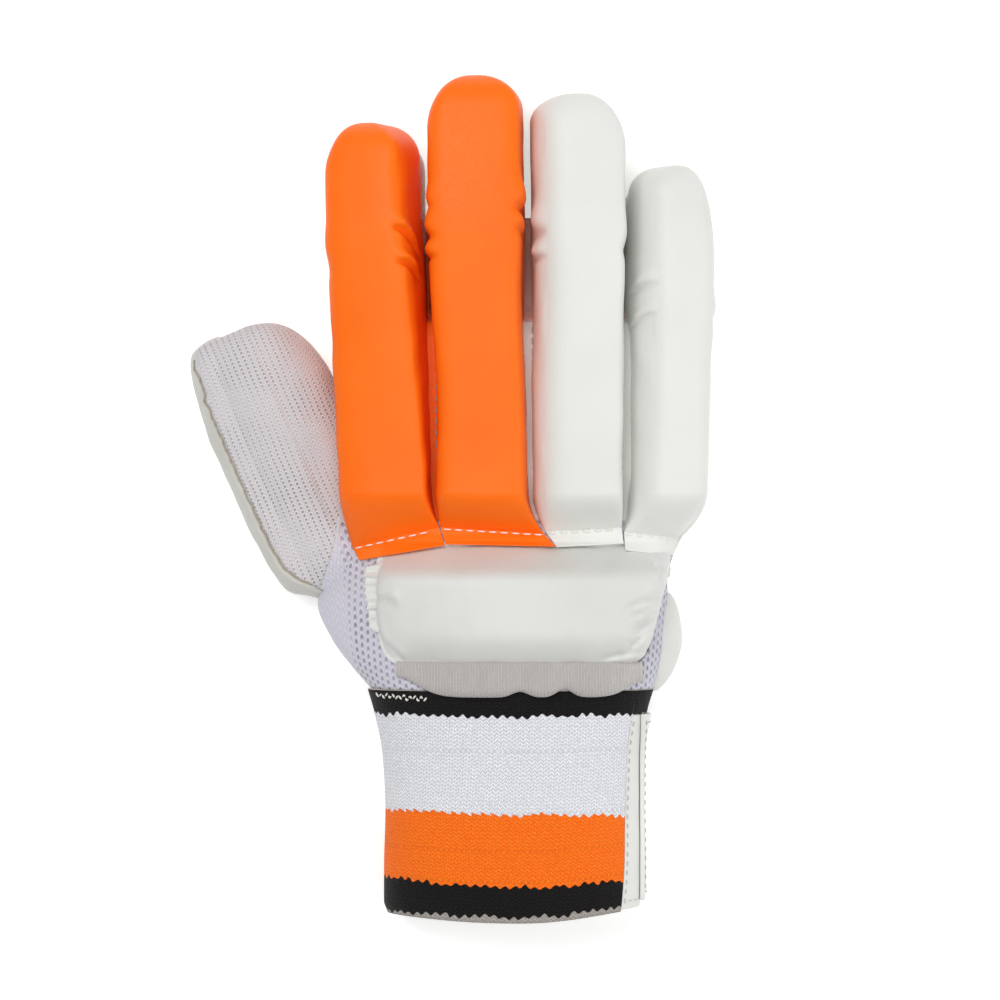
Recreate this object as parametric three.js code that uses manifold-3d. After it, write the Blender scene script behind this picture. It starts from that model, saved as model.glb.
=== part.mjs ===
// A right-hand cricket batting glove, lying on its palm: fingers along +Y, back of the hand up, thumb to the left.
// Millimetres, +Z up. The origin is on the flat underside of the palm, under the middle of the wristband.
import * as THREE from "three";
import { mergeVertices } from "three/addons/utils/BufferGeometryUtils.js";
import Module from "manifold-3d";

const wasm = await Module();
wasm.setup();

// Clearances
const SEWN_GAP = 0.3; // between two pieces that are sewn or lie together
const ROLL_GAP = 1.7; // between neighbouring finger rolls at the knuckles
const FLOOR_SINK = 0.9; // how far a soft underside is pressed flat where the glove rests

// Walls
const SHELL_WALL = 1.8; // palm leather, air mesh and knitted stalls
const KNIT_WALL = 3.2; // elastic wristband
const STRAP_THICKNESS = 1.6;
const HEM_THICKNESS = 1.4;

// The hand, from the wrist seam to the crotch between the fingers
const WRIST_Y = -29.5;
const CROTCH_Y = 94;
const KNUCKLE_Y = 24.5; // where the padding of the finger rolls ends and their hems begin
const WRIST_WIDTH = 94;
const WRIST_DEPTH = 40;
const STALL_DEPTH = 21; // a finger stall, from its front to its back
const CROTCH_DEPTH = STALL_DEPTH + 2;
const ROW_SHIFT = 2.8; // the row of fingers sits this far towards the little finger
const SEAM_HEIGHT = 9; // where the palm leather meets the knit and mesh
const WAIST_SHARE = 0.42; // height of a section's widest line, as a share of its depth

// The fingers, from the thumb's side. Lengths run from KNUCKLE_Y to the tip, bend is the distance from the tip to the
// bend, tilts are in degrees towards the little finger, tops are heights above the stall's underside, drift is the tip's
// shift across, caps are the lengths over which the roll's two sides round in towards its tip.
const FINGERS = [
  { name: "index", length: 134.3, width: 27, tipWidth: 27.8, stall: 22.5, bend: 38, topRoot: 41, topTip: 41,
    tiltRoot: -9, tiltTip: -20, drift: -1.6, capLeft: 17, capRight: 14 },
  { name: "middle", length: 150, width: 30.4, tipWidth: 31.8, stall: 24.5, bend: 47, topRoot: 44, topTip: 42,
    tiltRoot: -2, tiltTip: -4, drift: -1.4, capLeft: 13, capRight: 12 },
  { name: "ring", length: 144, width: 27.8, tipWidth: 30.4, stall: 23.5, bend: 46, topRoot: 44, topTip: 42,
    tiltRoot: 2, tiltTip: 5, drift: -1.4, capLeft: 11, capRight: 14 },
  { name: "little", length: 120.3, width: 24.5, tipWidth: 25, stall: 21, bend: 42, topRoot: 40, topTip: 39,
    tiltRoot: 9, tiltTip: 20, drift: -0.8, capLeft: 10, capRight: 25 },
];
const ARCH_START_Y = 40; // the fingers rise from here to their bends and come down to the floor at their tips
const ARCH_RISE = 6.8;
const TIP_COVER = 4.5; // padding of a roll beyond its stall's tip
const SKIRT_HEIGHT = 12.5; // lowest line of a roll's sides above the stall's underside
const ROLL_SQUARENESS = 5;
const ROLL_CAP = 12; // length over which a roll's top rounds down at its tip
const ROOT_TAPER = 8; // length over which a roll rises from its hem
const HEM_LENGTH = 8.5;

// Creases on the rolls' sides at the bend. side -1 faces the thumb, at is a share of the finger's bend distance measured
// from the tip, bulge is a share of the roll's width, spread is a share of the bend distance.
const FOLDS = [
  { finger: "index", side: 1, at: 0.95, bulge: 0.05, spread: 0.09 },
  { finger: "index", side: 1, at: 1.27, bulge: 0.06, spread: 0.08 },
  { finger: "index", side: -1, at: 1.1, bulge: 0.02, spread: 0.2 },
  { finger: "middle", side: 1, at: 0.84, bulge: 0.075, spread: 0.1 },
  { finger: "middle", side: 1, at: 1.05, bulge: 0.035, spread: 0.06 },
  { finger: "middle", side: -1, at: 1.05, bulge: 0.05, spread: 0.09 },
  { finger: "middle", side: -1, at: 1.24, bulge: 0.05, spread: 0.05 },
  { finger: "ring", side: -1, at: 0.92, bulge: 0.06, spread: 0.08 },
  { finger: "ring", side: -1, at: 1.13, bulge: 0.06, spread: 0.05 },
  { finger: "ring", side: 1, at: 1.0, bulge: 0.03, spread: 0.14 },
  { finger: "little", side: -1, at: 0.95, bulge: 0.06, spread: 0.09 },
  { finger: "little", side: -1, at: 1.18, bulge: 0.05, spread: 0.07 },
  { finger: "little", side: 1, at: 1.1, bulge: 0.03, spread: 0.12 },
];

// Hems: each boundary between two hems, as shifts in shares of HEM_LENGTH from the middle of the gap between the rolls
// (or from the outer roll's side), at its top and its bottom, and each hem's drop on its two sides.
const HEM_EDGES = [
  { top: -0.2, bottom: 0.3 },
  { top: 0.07, bottom: 0.22 },
  { top: 0.45, bottom: 0.95 },
  { top: 0.03, bottom: 0.15 },
  { top: -0.25, bottom: -0.8 },
];
const HEM_DROPS = [
  { left: 1.38, right: 0.72 },
  { left: 0.68, right: 0.78 },
  { left: 0.78, right: 0.7 },
  { left: 0.95, right: 1.1 },
];

// Sections of the hand. along runs from the wrist to the crotch, left and right are shares of the half width there,
// depth is a share of the depth there, lift is a share of CUFF_LIFT.
const HAND_SECTIONS = [
  { along: 0, left: 1.03, right: 0.98, depth: 1, lift: 1 },
  { along: 0.05, left: 1.14, right: 1.0, depth: 1, lift: 0.7 },
  { along: 0.13, left: 1.28, right: 1.02, depth: 0.99, lift: 0.25 },
  { along: 0.22, left: 1.36, right: 1.02, depth: 0.97, lift: 0 },
  { along: 0.3, left: 1.3, right: 1.0, depth: 0.95, lift: 0 },
  { along: 0.38, left: 1.23, right: 1.03, depth: 0.93, lift: 0 },
  { along: 0.5, left: 1.15, right: 1.06, depth: 0.92, lift: 0 },
  { along: 0.62, left: 1.1, right: 1.05, depth: 0.93, lift: 0 },
  { along: 0.8, left: 1.03, right: 1.03, depth: 0.97, lift: 0 },
  { along: 0.94, left: 1.0, right: 1.0, depth: 1, lift: 0 },
  { along: 1, left: 0.97, right: 0.97, depth: 0.86, lift: 0 },
];
const HAND_POINTS = 24;
const HAND_ARCH_POWER = 2.25; // roundness of the back of the hand
const PALM_POWER = 3.5; // squareness of the palm

// The thumb, in its own frame: along runs from its root to its tip, shares are of THUMB_WIDTH / 2 and THUMB_DEPTH
const THUMB_LENGTH = 89.5;
const THUMB_WIDTH = 40;
const THUMB_DEPTH = 27;
const THUMB_ANGLE = 23.4; // degrees away from the fingers
const THUMB_ROOT_Y = 9.1;
const THUMB_INSET = 9.5; // its root lies this far inside the hand's edge
const THUMB_SECTIONS = [
  { along: -0.12, left: 0.7, right: 0.6, depth: 0.4 },
  { along: 0, left: 1, right: 0.85, depth: 0.66 },
  { along: 0.2, left: 1.03, right: 0.95, depth: 0.86 },
  { along: 0.45, left: 1.02, right: 1, depth: 1 },
  { along: 0.72, left: 1.01, right: 0.98, depth: 1 },
  { along: 0.84, left: 1, right: 0.87, depth: 0.97 },
  { along: 0.92, left: 0.97, right: 0.7, depth: 0.9 },
  { along: 0.97, left: 0.88, right: 0.48, depth: 0.76 },
  { along: 0.995, left: 0.65, right: 0.24, depth: 0.5 },
];
const THUMB_POINTS = 18;
// The seam between the hand and the thumb, in plan: along runs as in HAND_SECTIONS, and out is how far beyond the hand's
// edge it lies, as a share of the half width there
const THUMB_SEAM = [
  { along: 0.14, out: 0.2 },
  { along: 0.2, out: 0.022 },
  { along: 0.38, out: -0.01 },
  { along: 0.56, out: -0.01 },
  { along: 0.72, out: -0.005 },
];

// The bolster along the thumb's outer edge: reach is a share of THUMB_WIDTH / 2, top a share of THUMB_DEPTH
const GUARD_SECTIONS = [
  { along: -0.035, reach: 0.98, top: 0.5 },
  { along: -0.01, reach: 1.1, top: 0.66 },
  { along: 0.06, reach: 1.2, top: 0.76 },
  { along: 0.16, reach: 1.28, top: 0.8 },
  { along: 0.35, reach: 1.34, top: 0.82 },
  { along: 0.64, reach: 1.35, top: 0.82 },
  { along: 0.82, reach: 1.28, top: 0.82 },
  { along: 0.93, reach: 1.18, top: 0.8 },
  { along: 0.99, reach: 1.05, top: 0.74 },
  { along: 1.015, reach: 0.88, top: 0.6 },
];
const GUARD_ROOT = 0.45; // the bolster's inner line, as a share of THUMB_WIDTH / 2
const GUARD_POINTS = 14;

// The pad across the back of the hand, laid over its arch
const PAD_TOP_Y = 18.5;
const PAD_BOTTOM_Y = -21.5;
const PAD_LEFT = 46.5;
const PAD_RIGHT = 50;
const PAD_HEIGHT = 15; // above the back of the hand
const PAD_DROP = 9; // how much lower its ends lie than its middle
const PAD_SINK = 8; // its curved underside before it is cut to the hand
const PAD_END_CAP = 9;
const PAD_POINTS = 16;
// Pleats where its cover is gathered at the ends: x is a share of the half length, depth a share of PAD_HEIGHT
const PAD_PLEATS = [
  { x: -0.9, depth: 0.1 },
  { x: 0.83, depth: 0.06 },
  { x: 0.95, depth: 0.09 },
];

// The puffed, gathered panel between the pad and the wristband
const PANEL_LEFT = 41;
const PANEL_RIGHT = 45;
const PANEL_BOTTOM_Y = -31.8;
const PANEL_PUFF = 4.6;
// Gathers along it: x is a share of the way from its left to its right end, notch a share of its length
const PANEL_GATHERS = [
  { x: 0, notch: 0.55, width: 0.12 },
  { x: 0.5, notch: 0.16, width: 0.045 },
  { x: 0.68, notch: 0.22, width: 0.045 },
  { x: 1, notch: 0.4, width: 0.09 },
];

// The padded patch at the heel, on the little finger's side
const HEEL_TOP_Y = 2.5;
const HEEL_BOTTOM_Y = -31;
const HEEL_REACH = 6.2;
const HEEL_LOW = 3;
const HEEL_HIGH = 21;

// The wristband and its closure
const CUFF_LENGTH = 74.6;
const CUFF_LIFT = 2.4; // the wristband's underside above the floor
const CUFF_BOW = 2.2; // its edge is lower in the middle of its back than at the sides
const CUFF_SECTIONS = [
  { along: 0, left: 1.03, right: 0.98, depth: 1 },
  { along: 0.1, left: 1.0, right: 0.945, depth: 0.98 },
  { along: 0.3, left: 0.95, right: 0.905, depth: 0.95 },
  { along: 0.55, left: 0.93, right: 0.895, depth: 0.93 },
  { along: 0.8, left: 0.94, right: 0.905, depth: 0.93 },
  { along: 1, left: 0.935, right: 0.9, depth: 0.94 },
];
const CUFF_POINTS = 32;
const CUFF_POWER = 2.3;
const BAND_EDGE_X = 37.3; // where the knit stops on the back of the wrist
const BAND_PALM_X = -8; // and where it stops under the wrist
const BAND_RING = 8; // the upper stripe goes right round
const STRAP_EDGE_X = 41.2;
const STRAP_PALM_X = -32;
const STRAP_SHORT = 3; // the strap stops this much above the closure's base
const BASE_SHORT = 1.2; // and the base this much above the wristband's edge

const COLOURS = {
  orange: { color: 0xff6a13, roughness: 0.5, metalness: 0 },
  whiteLeather: { color: 0xe4e5e0, roughness: 0.5, metalness: 0 },
  palmLeather: { color: 0xe9e7df, roughness: 0.65, metalness: 0 },
  whiteKnit: { color: 0xe6e4e8, roughness: 0.95, metalness: 0 },
  airMesh: { color: 0xe2e0ee, roughness: 0.95, metalness: 0 },
  ribbed: { color: 0xdedad6, roughness: 0.85, metalness: 0 },
  wristKnit: { color: 0xeceef2, roughness: 0.95, metalness: 0 },
};

const degrees = THREE.MathUtils.degToRad;
const mix = THREE.MathUtils.lerp;
const signedPower = (value, power) => Math.sign(value) * Math.abs(value) ** power;

// Positions of the fingers across the hand: each roll stands beside the one before it.
const rowWidth = FINGERS.reduce((sum, f) => sum + f.width, 0) + ROLL_GAP * (FINGERS.length - 1);
let nextEdge = ROW_SHIFT - rowWidth / 2;
for (const finger of FINGERS) {
  finger.rootX = nextEdge + finger.width / 2;
  finger.tipY = KNUCKLE_Y + finger.length;
  nextEdge += finger.width + ROLL_GAP;
}
const longestRise = Math.max(...FINGERS.map((f) => f.tipY - f.bend - ARCH_START_Y));
const archSlope = ARCH_RISE / longestRise;

// A line that is 0 before its start and climbs at 1 after it, with a rounded corner.
const softRamp = (distance, round = 8) => (distance + Math.hypot(distance, round)) / 2;
const softMin = (a, b, round = 2) => (a + b - Math.hypot(a - b, round)) / 2;

// Rise of the whole hand towards the bends, and of one finger, which comes down again to its tip.
const handArch = (y) => archSlope * (softRamp(y - ARCH_START_Y) - softRamp(WRIST_Y - ARCH_START_Y));
function fingerArch(finger, y) {
  const down = handArch(finger.tipY - finger.bend) / finger.bend;
  return Math.max(0, softMin(handArch(y), down * (finger.tipY - y)));
}

// Linear reading of a table whose rows are ordered by their along column.
function readTable(rows, along, column) {
  const next = rows.findIndex((row) => row.along >= along);
  if (next <= 0) return rows.at(next)[column];
  const [a, b] = [rows[next - 1], rows[next]];
  return mix(a[column], b[column], (along - a.along) / (b.along - a.along));
}

// A closed ring in the plane y = constant: an oval whose left and right, and upper and lower, quarters differ.
// It turns by tilt about a line at the height pivot, and stands at the height rise.
function ovalRing(section, grow = 0) {
  const { y, axis, left, right, top, bottom, upperPower, lowerPower, points, tilt = 0, rise = 0 } = section;
  const waist = section.waist ?? mix(bottom, top, WAIST_SHARE);
  const pivot = section.pivot ?? waist;
  return Array.from({ length: points }, (_, i) => {
    const angle = (2 * Math.PI * i) / points;
    const [c, s] = [Math.cos(angle), Math.sin(angle)];
    const power = 2 / (s >= 0 ? upperPower : lowerPower);
    const across = signedPower(c, power) * ((c >= 0 ? right : left) + grow);
    const up = waist - pivot + signedPower(s, power) * ((s >= 0 ? top - waist : waist - bottom) + grow);
    return new THREE.Vector3(
      axis + across * Math.cos(tilt) + up * Math.sin(tilt),
      y - (section.bow ?? 0) * Math.max(0, s) * (1 - c * c),
      pivot + rise + up * Math.cos(tilt) - across * Math.sin(tilt),
    );
  });
}

// A closed body through rings that follow each other along +Y, with a fan over each end.
function loft(rings) {
  const count = rings[0].length;
  const centre = (ring) => ring.reduce((sum, p) => sum.add(p), new THREE.Vector3()).divideScalar(count);
  const vertices = [...rings.flat(), centre(rings[0]), centre(rings.at(-1))];
  const first = rings.length * count;
  const index = [];
  const lastRing = (rings.length - 1) * count;
  for (let i = 0; i < count; i++) {
    const j = (i + 1) % count;
    index.push(first, i, j, first + 1, lastRing + j, lastRing + i);
    for (let row = 0; row < lastRing; row += count)
      index.push(row + i, row + count + i, row + count + j, row + i, row + count + j, row + j);
  }
  const geometry = new THREE.BufferGeometry().setFromPoints(vertices);
  geometry.setIndex(index);
  return solid(geometry);
}

// A three.js geometry as a solid for cutting and joining.
function solid(geometry) {
  const bare = new THREE.BufferGeometry().setAttribute("position", geometry.getAttribute("position"));
  bare.setIndex(geometry.index);
  const merged = mergeVertices(bare, 1e-4);
  const vertProperties = new Float32Array(merged.attributes.position.array);
  return new wasm.Manifold(
    new wasm.Mesh({ numProp: 3, vertProperties, triVerts: new Uint32Array(merged.index.array) }),
  );
}

function geometryOf(made) {
  const mesh = made.getMesh();
  const geometry = new THREE.BufferGeometry();
  geometry.setAttribute("position", new THREE.BufferAttribute(new Float32Array(mesh.vertProperties), 3));
  geometry.setIndex(new THREE.BufferAttribute(new Uint32Array(mesh.triVerts), 1));
  geometry.computeVertexNormals();
  return geometry;
}

const FAR = 400; // larger than the glove, for cutting
function block(low, high) {
  const [x, y, z] = high.map((value, i) => value - low[i]);
  const box = new THREE.BoxGeometry(x, y, z);
  box.translate(low[0] + x / 2, low[1] + y / 2, low[2] + z / 2);
  return solid(box);
}

// An upright prism over a plan outline, from z = low to z = high.
function prism(outline, low, high) {
  const shape = new THREE.Shape(outline.map(([x, y]) => new THREE.Vector2(x, y)));
  const geometry = new THREE.ExtrudeGeometry(shape, { depth: high - low, bevelEnabled: false });
  geometry.translate(0, 0, low);
  return solid(geometry);
}

// Everything under a height that follows y, between two x: the palm side of the seam.
function regionUnder(heightAt, fromY, toY, lowX, highX) {
  const steps = 14;
  const outline = Array.from({ length: steps + 1 }, (_, i) => {
    const y = mix(fromY, toY, i / steps);
    return new THREE.Vector2(y, heightAt(y));
  });
  outline.push(new THREE.Vector2(toY, -FAR), new THREE.Vector2(fromY, -FAR));
  const geometry = new THREE.ExtrudeGeometry(new THREE.Shape(outline), { depth: highX - lowX, bevelEnabled: false });
  // The outline's axes are y and z, and it is extruded along x.
  geometry.applyMatrix4(
    new THREE.Matrix4().makeBasis(
      new THREE.Vector3(0, 1, 0),
      new THREE.Vector3(0, 0, 1),
      new THREE.Vector3(1, 0, 0),
    ),
  );
  geometry.translate(lowX, 0, 0);
  return solid(geometry);
}

// The largest body of a cut solid: what a cut leaves beside it is a sliver.
function largest(made) {
  return made.decompose().reduce((best, body) => (body.volume() > best.volume() ? body : best));
}

const unionOf = (solids) => solids.reduce((sum, next) => sum.add(next));

// The hand's section at y: it widens from the wrist to the row of fingers and follows their rise.
function handSection(y) {
  const along = (y - WRIST_Y) / (CROTCH_Y - WRIST_Y);
  const half = mix(WRIST_WIDTH, rowWidth, along) / 2;
  const bottom = CUFF_LIFT * readTable(HAND_SECTIONS, along, "lift") - FLOOR_SINK * Math.min(1, along * 5);
  const depth = mix(WRIST_DEPTH, CROTCH_DEPTH, along) * readTable(HAND_SECTIONS, along, "depth");
  return {
    y,
    axis: ROW_SHIFT * along,
    left: half * readTable(HAND_SECTIONS, along, "left"),
    right: half * readTable(HAND_SECTIONS, along, "right"),
    top: bottom + depth,
    bottom,
    upperPower: HAND_ARCH_POWER,
    lowerPower: PALM_POWER,
    points: HAND_POINTS,
    rise: handArch(y),
  };
}
function handBody(grow, openWrist = 0) {
  const rings = HAND_SECTIONS.map(({ along }) => {
    const section = handSection(mix(WRIST_Y, CROTCH_Y, along));
    if (along === 0) section.y -= openWrist;
    if (along === 1) section.y += grow;
    return ovalRing(section, grow);
  });
  return loft(rings);
}

// A finger's axis and tilt where its roll or stall is at y.
function fingerPose(finger, y) {
  const share = THREE.MathUtils.clamp((y - KNUCKLE_Y) / finger.length, 0, 1);
  return {
    axis: finger.rootX + finger.drift * share,
    tilt: degrees(mix(finger.tiltRoot, finger.tiltTip, share)),
    pivot: STALL_DEPTH / 2,
    rise: fingerArch(finger, y),
  };
}

// Stations of a rounded end: shares of its length, and what is left of the width there.
function roundedEnd(steps, power) {
  return Array.from({ length: steps }, (_, i) => {
    const t = Math.sin(((i + 1) / (steps + 0.35)) * (Math.PI / 2));
    return { t, left: (1 - t ** power) ** (1 / power) };
  });
}

// A finger stall, from inside the hand to its rounded tip.
function stall(finger, grow) {
  const tip = finger.tipY - TIP_COVER;
  const cap = finger.stall / 2;
  const startY = CROTCH_Y - STALL_DEPTH;
  const straight = 5;
  const stations = [
    { y: startY - cap, left: 0.55 },
    ...Array.from({ length: straight + 1 }, (_, i) => ({ y: mix(startY, tip - cap, i / straight), left: 1 })),
    ...roundedEnd(3, 2.3).map(({ t, left }) => ({ y: tip - cap + (cap + grow) * t, left })),
  ];
  const waist = STALL_DEPTH / 2;
  return loft(
    stations.map(({ y, left }) =>
      ovalRing(
        {
          y,
          ...fingerPose(finger, y),
          left: ((finger.stall / 2 + grow) * left) - grow,
          right: ((finger.stall / 2 + grow) * left) - grow,
          top: waist + ((waist + grow) * left - grow),
          bottom: waist - ((waist + FLOOR_SINK + grow) * left - grow),
          waist,
          upperPower: 2.6,
          lowerPower: 3,
          points: 16,
        },
        grow,
      ),
    ),
  );
}

// The thumb's frame: x across it and y along it.
const thumbRootX = handSection(THUMB_ROOT_Y).axis - handSection(THUMB_ROOT_Y).left + THUMB_INSET;
const thumbFrame = new THREE.Matrix4()
  .makeTranslation(thumbRootX, THUMB_ROOT_Y, 0)
  .multiply(new THREE.Matrix4().makeRotationZ(degrees(THUMB_ANGLE)));
const inThumbFrame = (rings) => rings.map((ring) => ring.map((p) => p.applyMatrix4(thumbFrame)));

function thumb(grow) {
  const half = THUMB_WIDTH / 2;
  const rings = THUMB_SECTIONS.map((row, i) => {
    const last = i === THUMB_SECTIONS.length - 1;
    return ovalRing(
      {
        y: row.along * THUMB_LENGTH + (last ? grow : 0),
        axis: 0,
        left: half * row.left,
        right: half * row.right,
        top: THUMB_DEPTH * mix(0.5, 1, row.depth) - FLOOR_SINK,
        bottom: THUMB_DEPTH * mix(0.35, 0, row.depth ** 0.5) - FLOOR_SINK,
        upperPower: 2.5,
        lowerPower: 3,
        points: THUMB_POINTS,
      },
      grow,
    );
  });
  return loft(inThumbFrame(rings));
}

function cuff(grow, overrun = 0) {
  const rings = CUFF_SECTIONS.map((row) => {
    const y = WRIST_Y - SEWN_GAP - row.along * (CUFF_LENGTH - SEWN_GAP);
    return ovalRing(
      {
        y: y + (row.along === 0 ? overrun : 0) - (row.along === 1 ? overrun : 0),
        axis: 0,
        left: (WRIST_WIDTH / 2) * row.left,
        right: (WRIST_WIDTH / 2) * row.right,
        top: CUFF_LIFT + WRIST_DEPTH * row.depth,
        bottom: CUFF_LIFT,
        upperPower: CUFF_POWER,
        lowerPower: PALM_POWER,
        points: CUFF_POINTS,
        bow: CUFF_BOW * row.along,
      },
      grow,
    );
  });
  return loft(rings.reverse());
}

// The hand with its stalls and thumb, grown or shrunk by an offset, above the floor.
function wholeHand(grow, floor, openWrist = 0) {
  const all = unionOf([handBody(grow, openWrist), ...FINGERS.map((f) => stall(f, grow)), thumb(grow)]);
  return all.intersect(block([-FAR, -FAR, floor], [FAR, FAR, FAR]));
}

// The palm's side of the seam, lowered or raised by an offset.
function palmSide(offset) {
  const lanes = FINGERS.map((finger) => {
    const half = (finger.width + ROLL_GAP) / 2;
    const height = (y) => SEAM_HEIGHT + offset + fingerArch(finger, y);
    return regionUnder(height, CROTCH_Y - 1, finger.tipY + 20, finger.rootX - half, finger.rootX + half);
  });
  const height = (y) => SEAM_HEIGHT + offset + handArch(y);
  return unionOf([regionUnder(height, -FAR, CROTCH_Y + 4, -FAR, FAR), ...lanes]);
}

const aboveFloor = block([-FAR, -FAR, 0], [FAR, FAR, FAR]);
const hollow = wholeHand(-SHELL_WALL, SHELL_WALL, 2);
const handOutside = handBody(0).intersect(aboveFloor);
const thumbOutside = thumb(0).intersect(aboveFloor);
const handClearance = wholeHand(SEWN_GAP, -FAR);
const bodyClearance = handBody(SEWN_GAP);
const palmRegion = palmSide(0);
const backRegion = palmSide(SEWN_GAP);

// The thumb's side of its seam, in plan.
function thumbSide(offset) {
  const edge = THUMB_SEAM.map((row) => {
    const hand = handSection(mix(WRIST_Y, CROTCH_Y, row.along));
    return [hand.axis - hand.left * (1 + row.out) + offset, hand.y];
  });
  return prism([[-FAR, edge[0][1] - offset], ...edge, [edge.at(-1)[0], FAR], [-FAR, FAR]], -FAR, FAR);
}

const thumbRegion = thumbSide(0);
const handShell = handOutside.add(thumbOutside).subtract(hollow);
const palmShell = handShell.subtract(thumbSide(SEWN_GAP));
const thumbShell = largest(thumbOutside.add(handOutside).intersect(thumbRegion)).subtract(hollow);

// Leather palm, and the fronts of the fingers and of the thumb
const stallShell = (finger) => stall(finger, 0).intersect(aboveFloor).subtract(hollow).subtract(bodyClearance);
const palm = largest(palmShell.intersect(palmRegion));
const fingerFront = (finger) => largest(stallShell(finger).intersect(palmRegion));
const thumbFront = largest(thumbShell.intersect(palmRegion));

// Mesh back of the hand, knitted backs of the stalls and of the thumb
const handBack = largest(palmShell.subtract(backRegion));
const thumbBack = largest(thumbShell.subtract(backRegion));
const fingerBack = (finger) => largest(stallShell(finger).subtract(backRegion));

// Top of a roll above the stall's underside, rising from its hem to the padding's full height.
function rollTop(finger, y) {
  const share = (y - KNUCKLE_Y) / finger.length;
  const full = mix(finger.topRoot, finger.topTip, share);
  const hand = handSection(y);
  const hem = hand.top - FLOOR_SINK;
  const t = THREE.MathUtils.clamp((y - KNUCKLE_Y) / ROOT_TAPER, 0, 1);
  return mix(Math.min(hem, full), full, (1 - (1 - t) ** 2) ** 0.6);
}

// Half width of a roll on one side, with the creases of that side.
function rollHalf(finger, y, side) {
  const share = (y - KNUCKLE_Y) / finger.length;
  let half = mix(finger.width, finger.tipWidth, share) / 2;
  for (const fold of FOLDS)
    if (fold.finger === finger.name && fold.side === side) {
      const distance = (finger.tipY - y) / finger.bend - fold.at;
      half += fold.bulge * finger.width * Math.exp(-((distance / fold.spread) ** 2));
    }
  return half;
}

// What is left of a width at a distance from a rounded end.
function endShare(distance, length, power) {
  const t = THREE.MathUtils.clamp(1 - distance / length, 0, 1);
  return (1 - t ** power) ** (1 / power);
}

function rollPadding(finger, grow = 0) {
  const folds = FOLDS.filter((fold) => fold.finger === finger.name);
  const creases = folds.flatMap((fold) => [
    finger.tipY - fold.at * finger.bend,
    finger.tipY - (fold.at + fold.spread * 1.6) * finger.bend,
  ]);
  const even = [0, 0.12, 0.35, 0.7, 1.1].map((t) => KNUCKLE_Y + ROOT_TAPER * t);
  const lengthwise = [0.2, 0.35, 0.5, 0.62, 0.78].map((t) => mix(KNUCKLE_Y, finger.tipY, t));
  const cap = [1.6, 1, 0.62, 0.36, 0.19, 0.08, 0.02].map((t) => finger.tipY - ROLL_CAP * t);
  const stations = [...even, ...lengthwise, ...creases.filter((y) => y < cap[0] - 2), ...cap]
    .sort((a, b) => a - b)
    .filter((y, i, all) => i === 0 || y - all[i - 1] > 0.6);
  return loft(
    stations.map((y) => {
      const distance = finger.tipY - y;
      const top = rollTop(finger, y);
      const waist = mix(SKIRT_HEIGHT, top, 0.5);
      const section = {
        y,
        ...fingerPose(finger, y),
        left: rollHalf(finger, y, -1) * endShare(distance, finger.capLeft, 2.3),
        right: rollHalf(finger, y, 1) * endShare(distance, finger.capRight, 2.3),
        top: waist + (top - waist) * endShare(distance, ROLL_CAP, 2.6) ** 0.8,
        bottom: SKIRT_HEIGHT,
        waist,
        upperPower: ROLL_SQUARENESS,
        lowerPower: ROLL_SQUARENESS,
        points: 20,
      };
      return ovalRing(section, grow);
    }),
  );
}

// Plan outline of a finger's hem, grown by an offset.
function hemOutline(i, grow = 0) {
  const edges = FINGERS.map((f) => f.rootX - f.width / 2 - ROLL_GAP / 2);
  edges.push(FINGERS.at(-1).rootX + FINGERS.at(-1).width / 2);
  edges[0] += ROLL_GAP / 2;
  const at = (edge, part) => edges[edge] + HEM_EDGES[edge][part] * HEM_LENGTH;
  const inset = SEWN_GAP / 2 - grow;
  const topY = KNUCKLE_Y + ROOT_TAPER * 0.3;
  const lower = (drop) => KNUCKLE_Y - drop * HEM_LENGTH - grow;
  return [
    [at(i, "bottom") + inset, lower(HEM_DROPS[i].left)],
    [at(i + 1, "bottom") - inset, lower(HEM_DROPS[i].right)],
    [at(i + 1, "top") - inset, topY],
    [at(i, "top") + inset, topY],
  ];
}
const hemLayer = handBody(SEWN_GAP + HEM_THICKNESS).subtract(handClearance);
const hem = (i) => hemLayer.intersect(prism(hemOutline(i), SEAM_HEIGHT, FAR));

// A roll and its hem are one cover: the hem stays between its neighbours, the padding is cut to the hand under it.
function fingerRoll(finger, i) {
  const others = FINGERS.map((_, k) => k).filter((k) => k !== i);
  const neighbours = unionOf(others.map((k) => prism(hemOutline(k, SEWN_GAP), -FAR, FAR)));
  const lowPart = block([-FAR, -FAR, -FAR], [FAR, KNUCKLE_Y + ROOT_TAPER * 0.3, FAR]);
  let padding = rollPadding(finger).subtract(neighbours.intersect(lowPart));
  if (i > 0) padding = padding.subtract(rollPadding(FINGERS[i - 1], SEWN_GAP));
  return largest(padding.subtract(handClearance).add(hem(i)));
}

// Height of the back of the hand at a point of the plan, without the clearance.
function handTop(x, y) {
  const section = handSection(y);
  const waist = mix(section.bottom, section.top, WAIST_SHARE);
  const across = x - section.axis;
  const share = Math.min(1, Math.abs(across) / (across > 0 ? section.right : section.left));
  return waist + section.rise + (section.top - waist) * (1 - share ** HAND_ARCH_POWER) ** (1 / HAND_ARCH_POWER);
}

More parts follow.
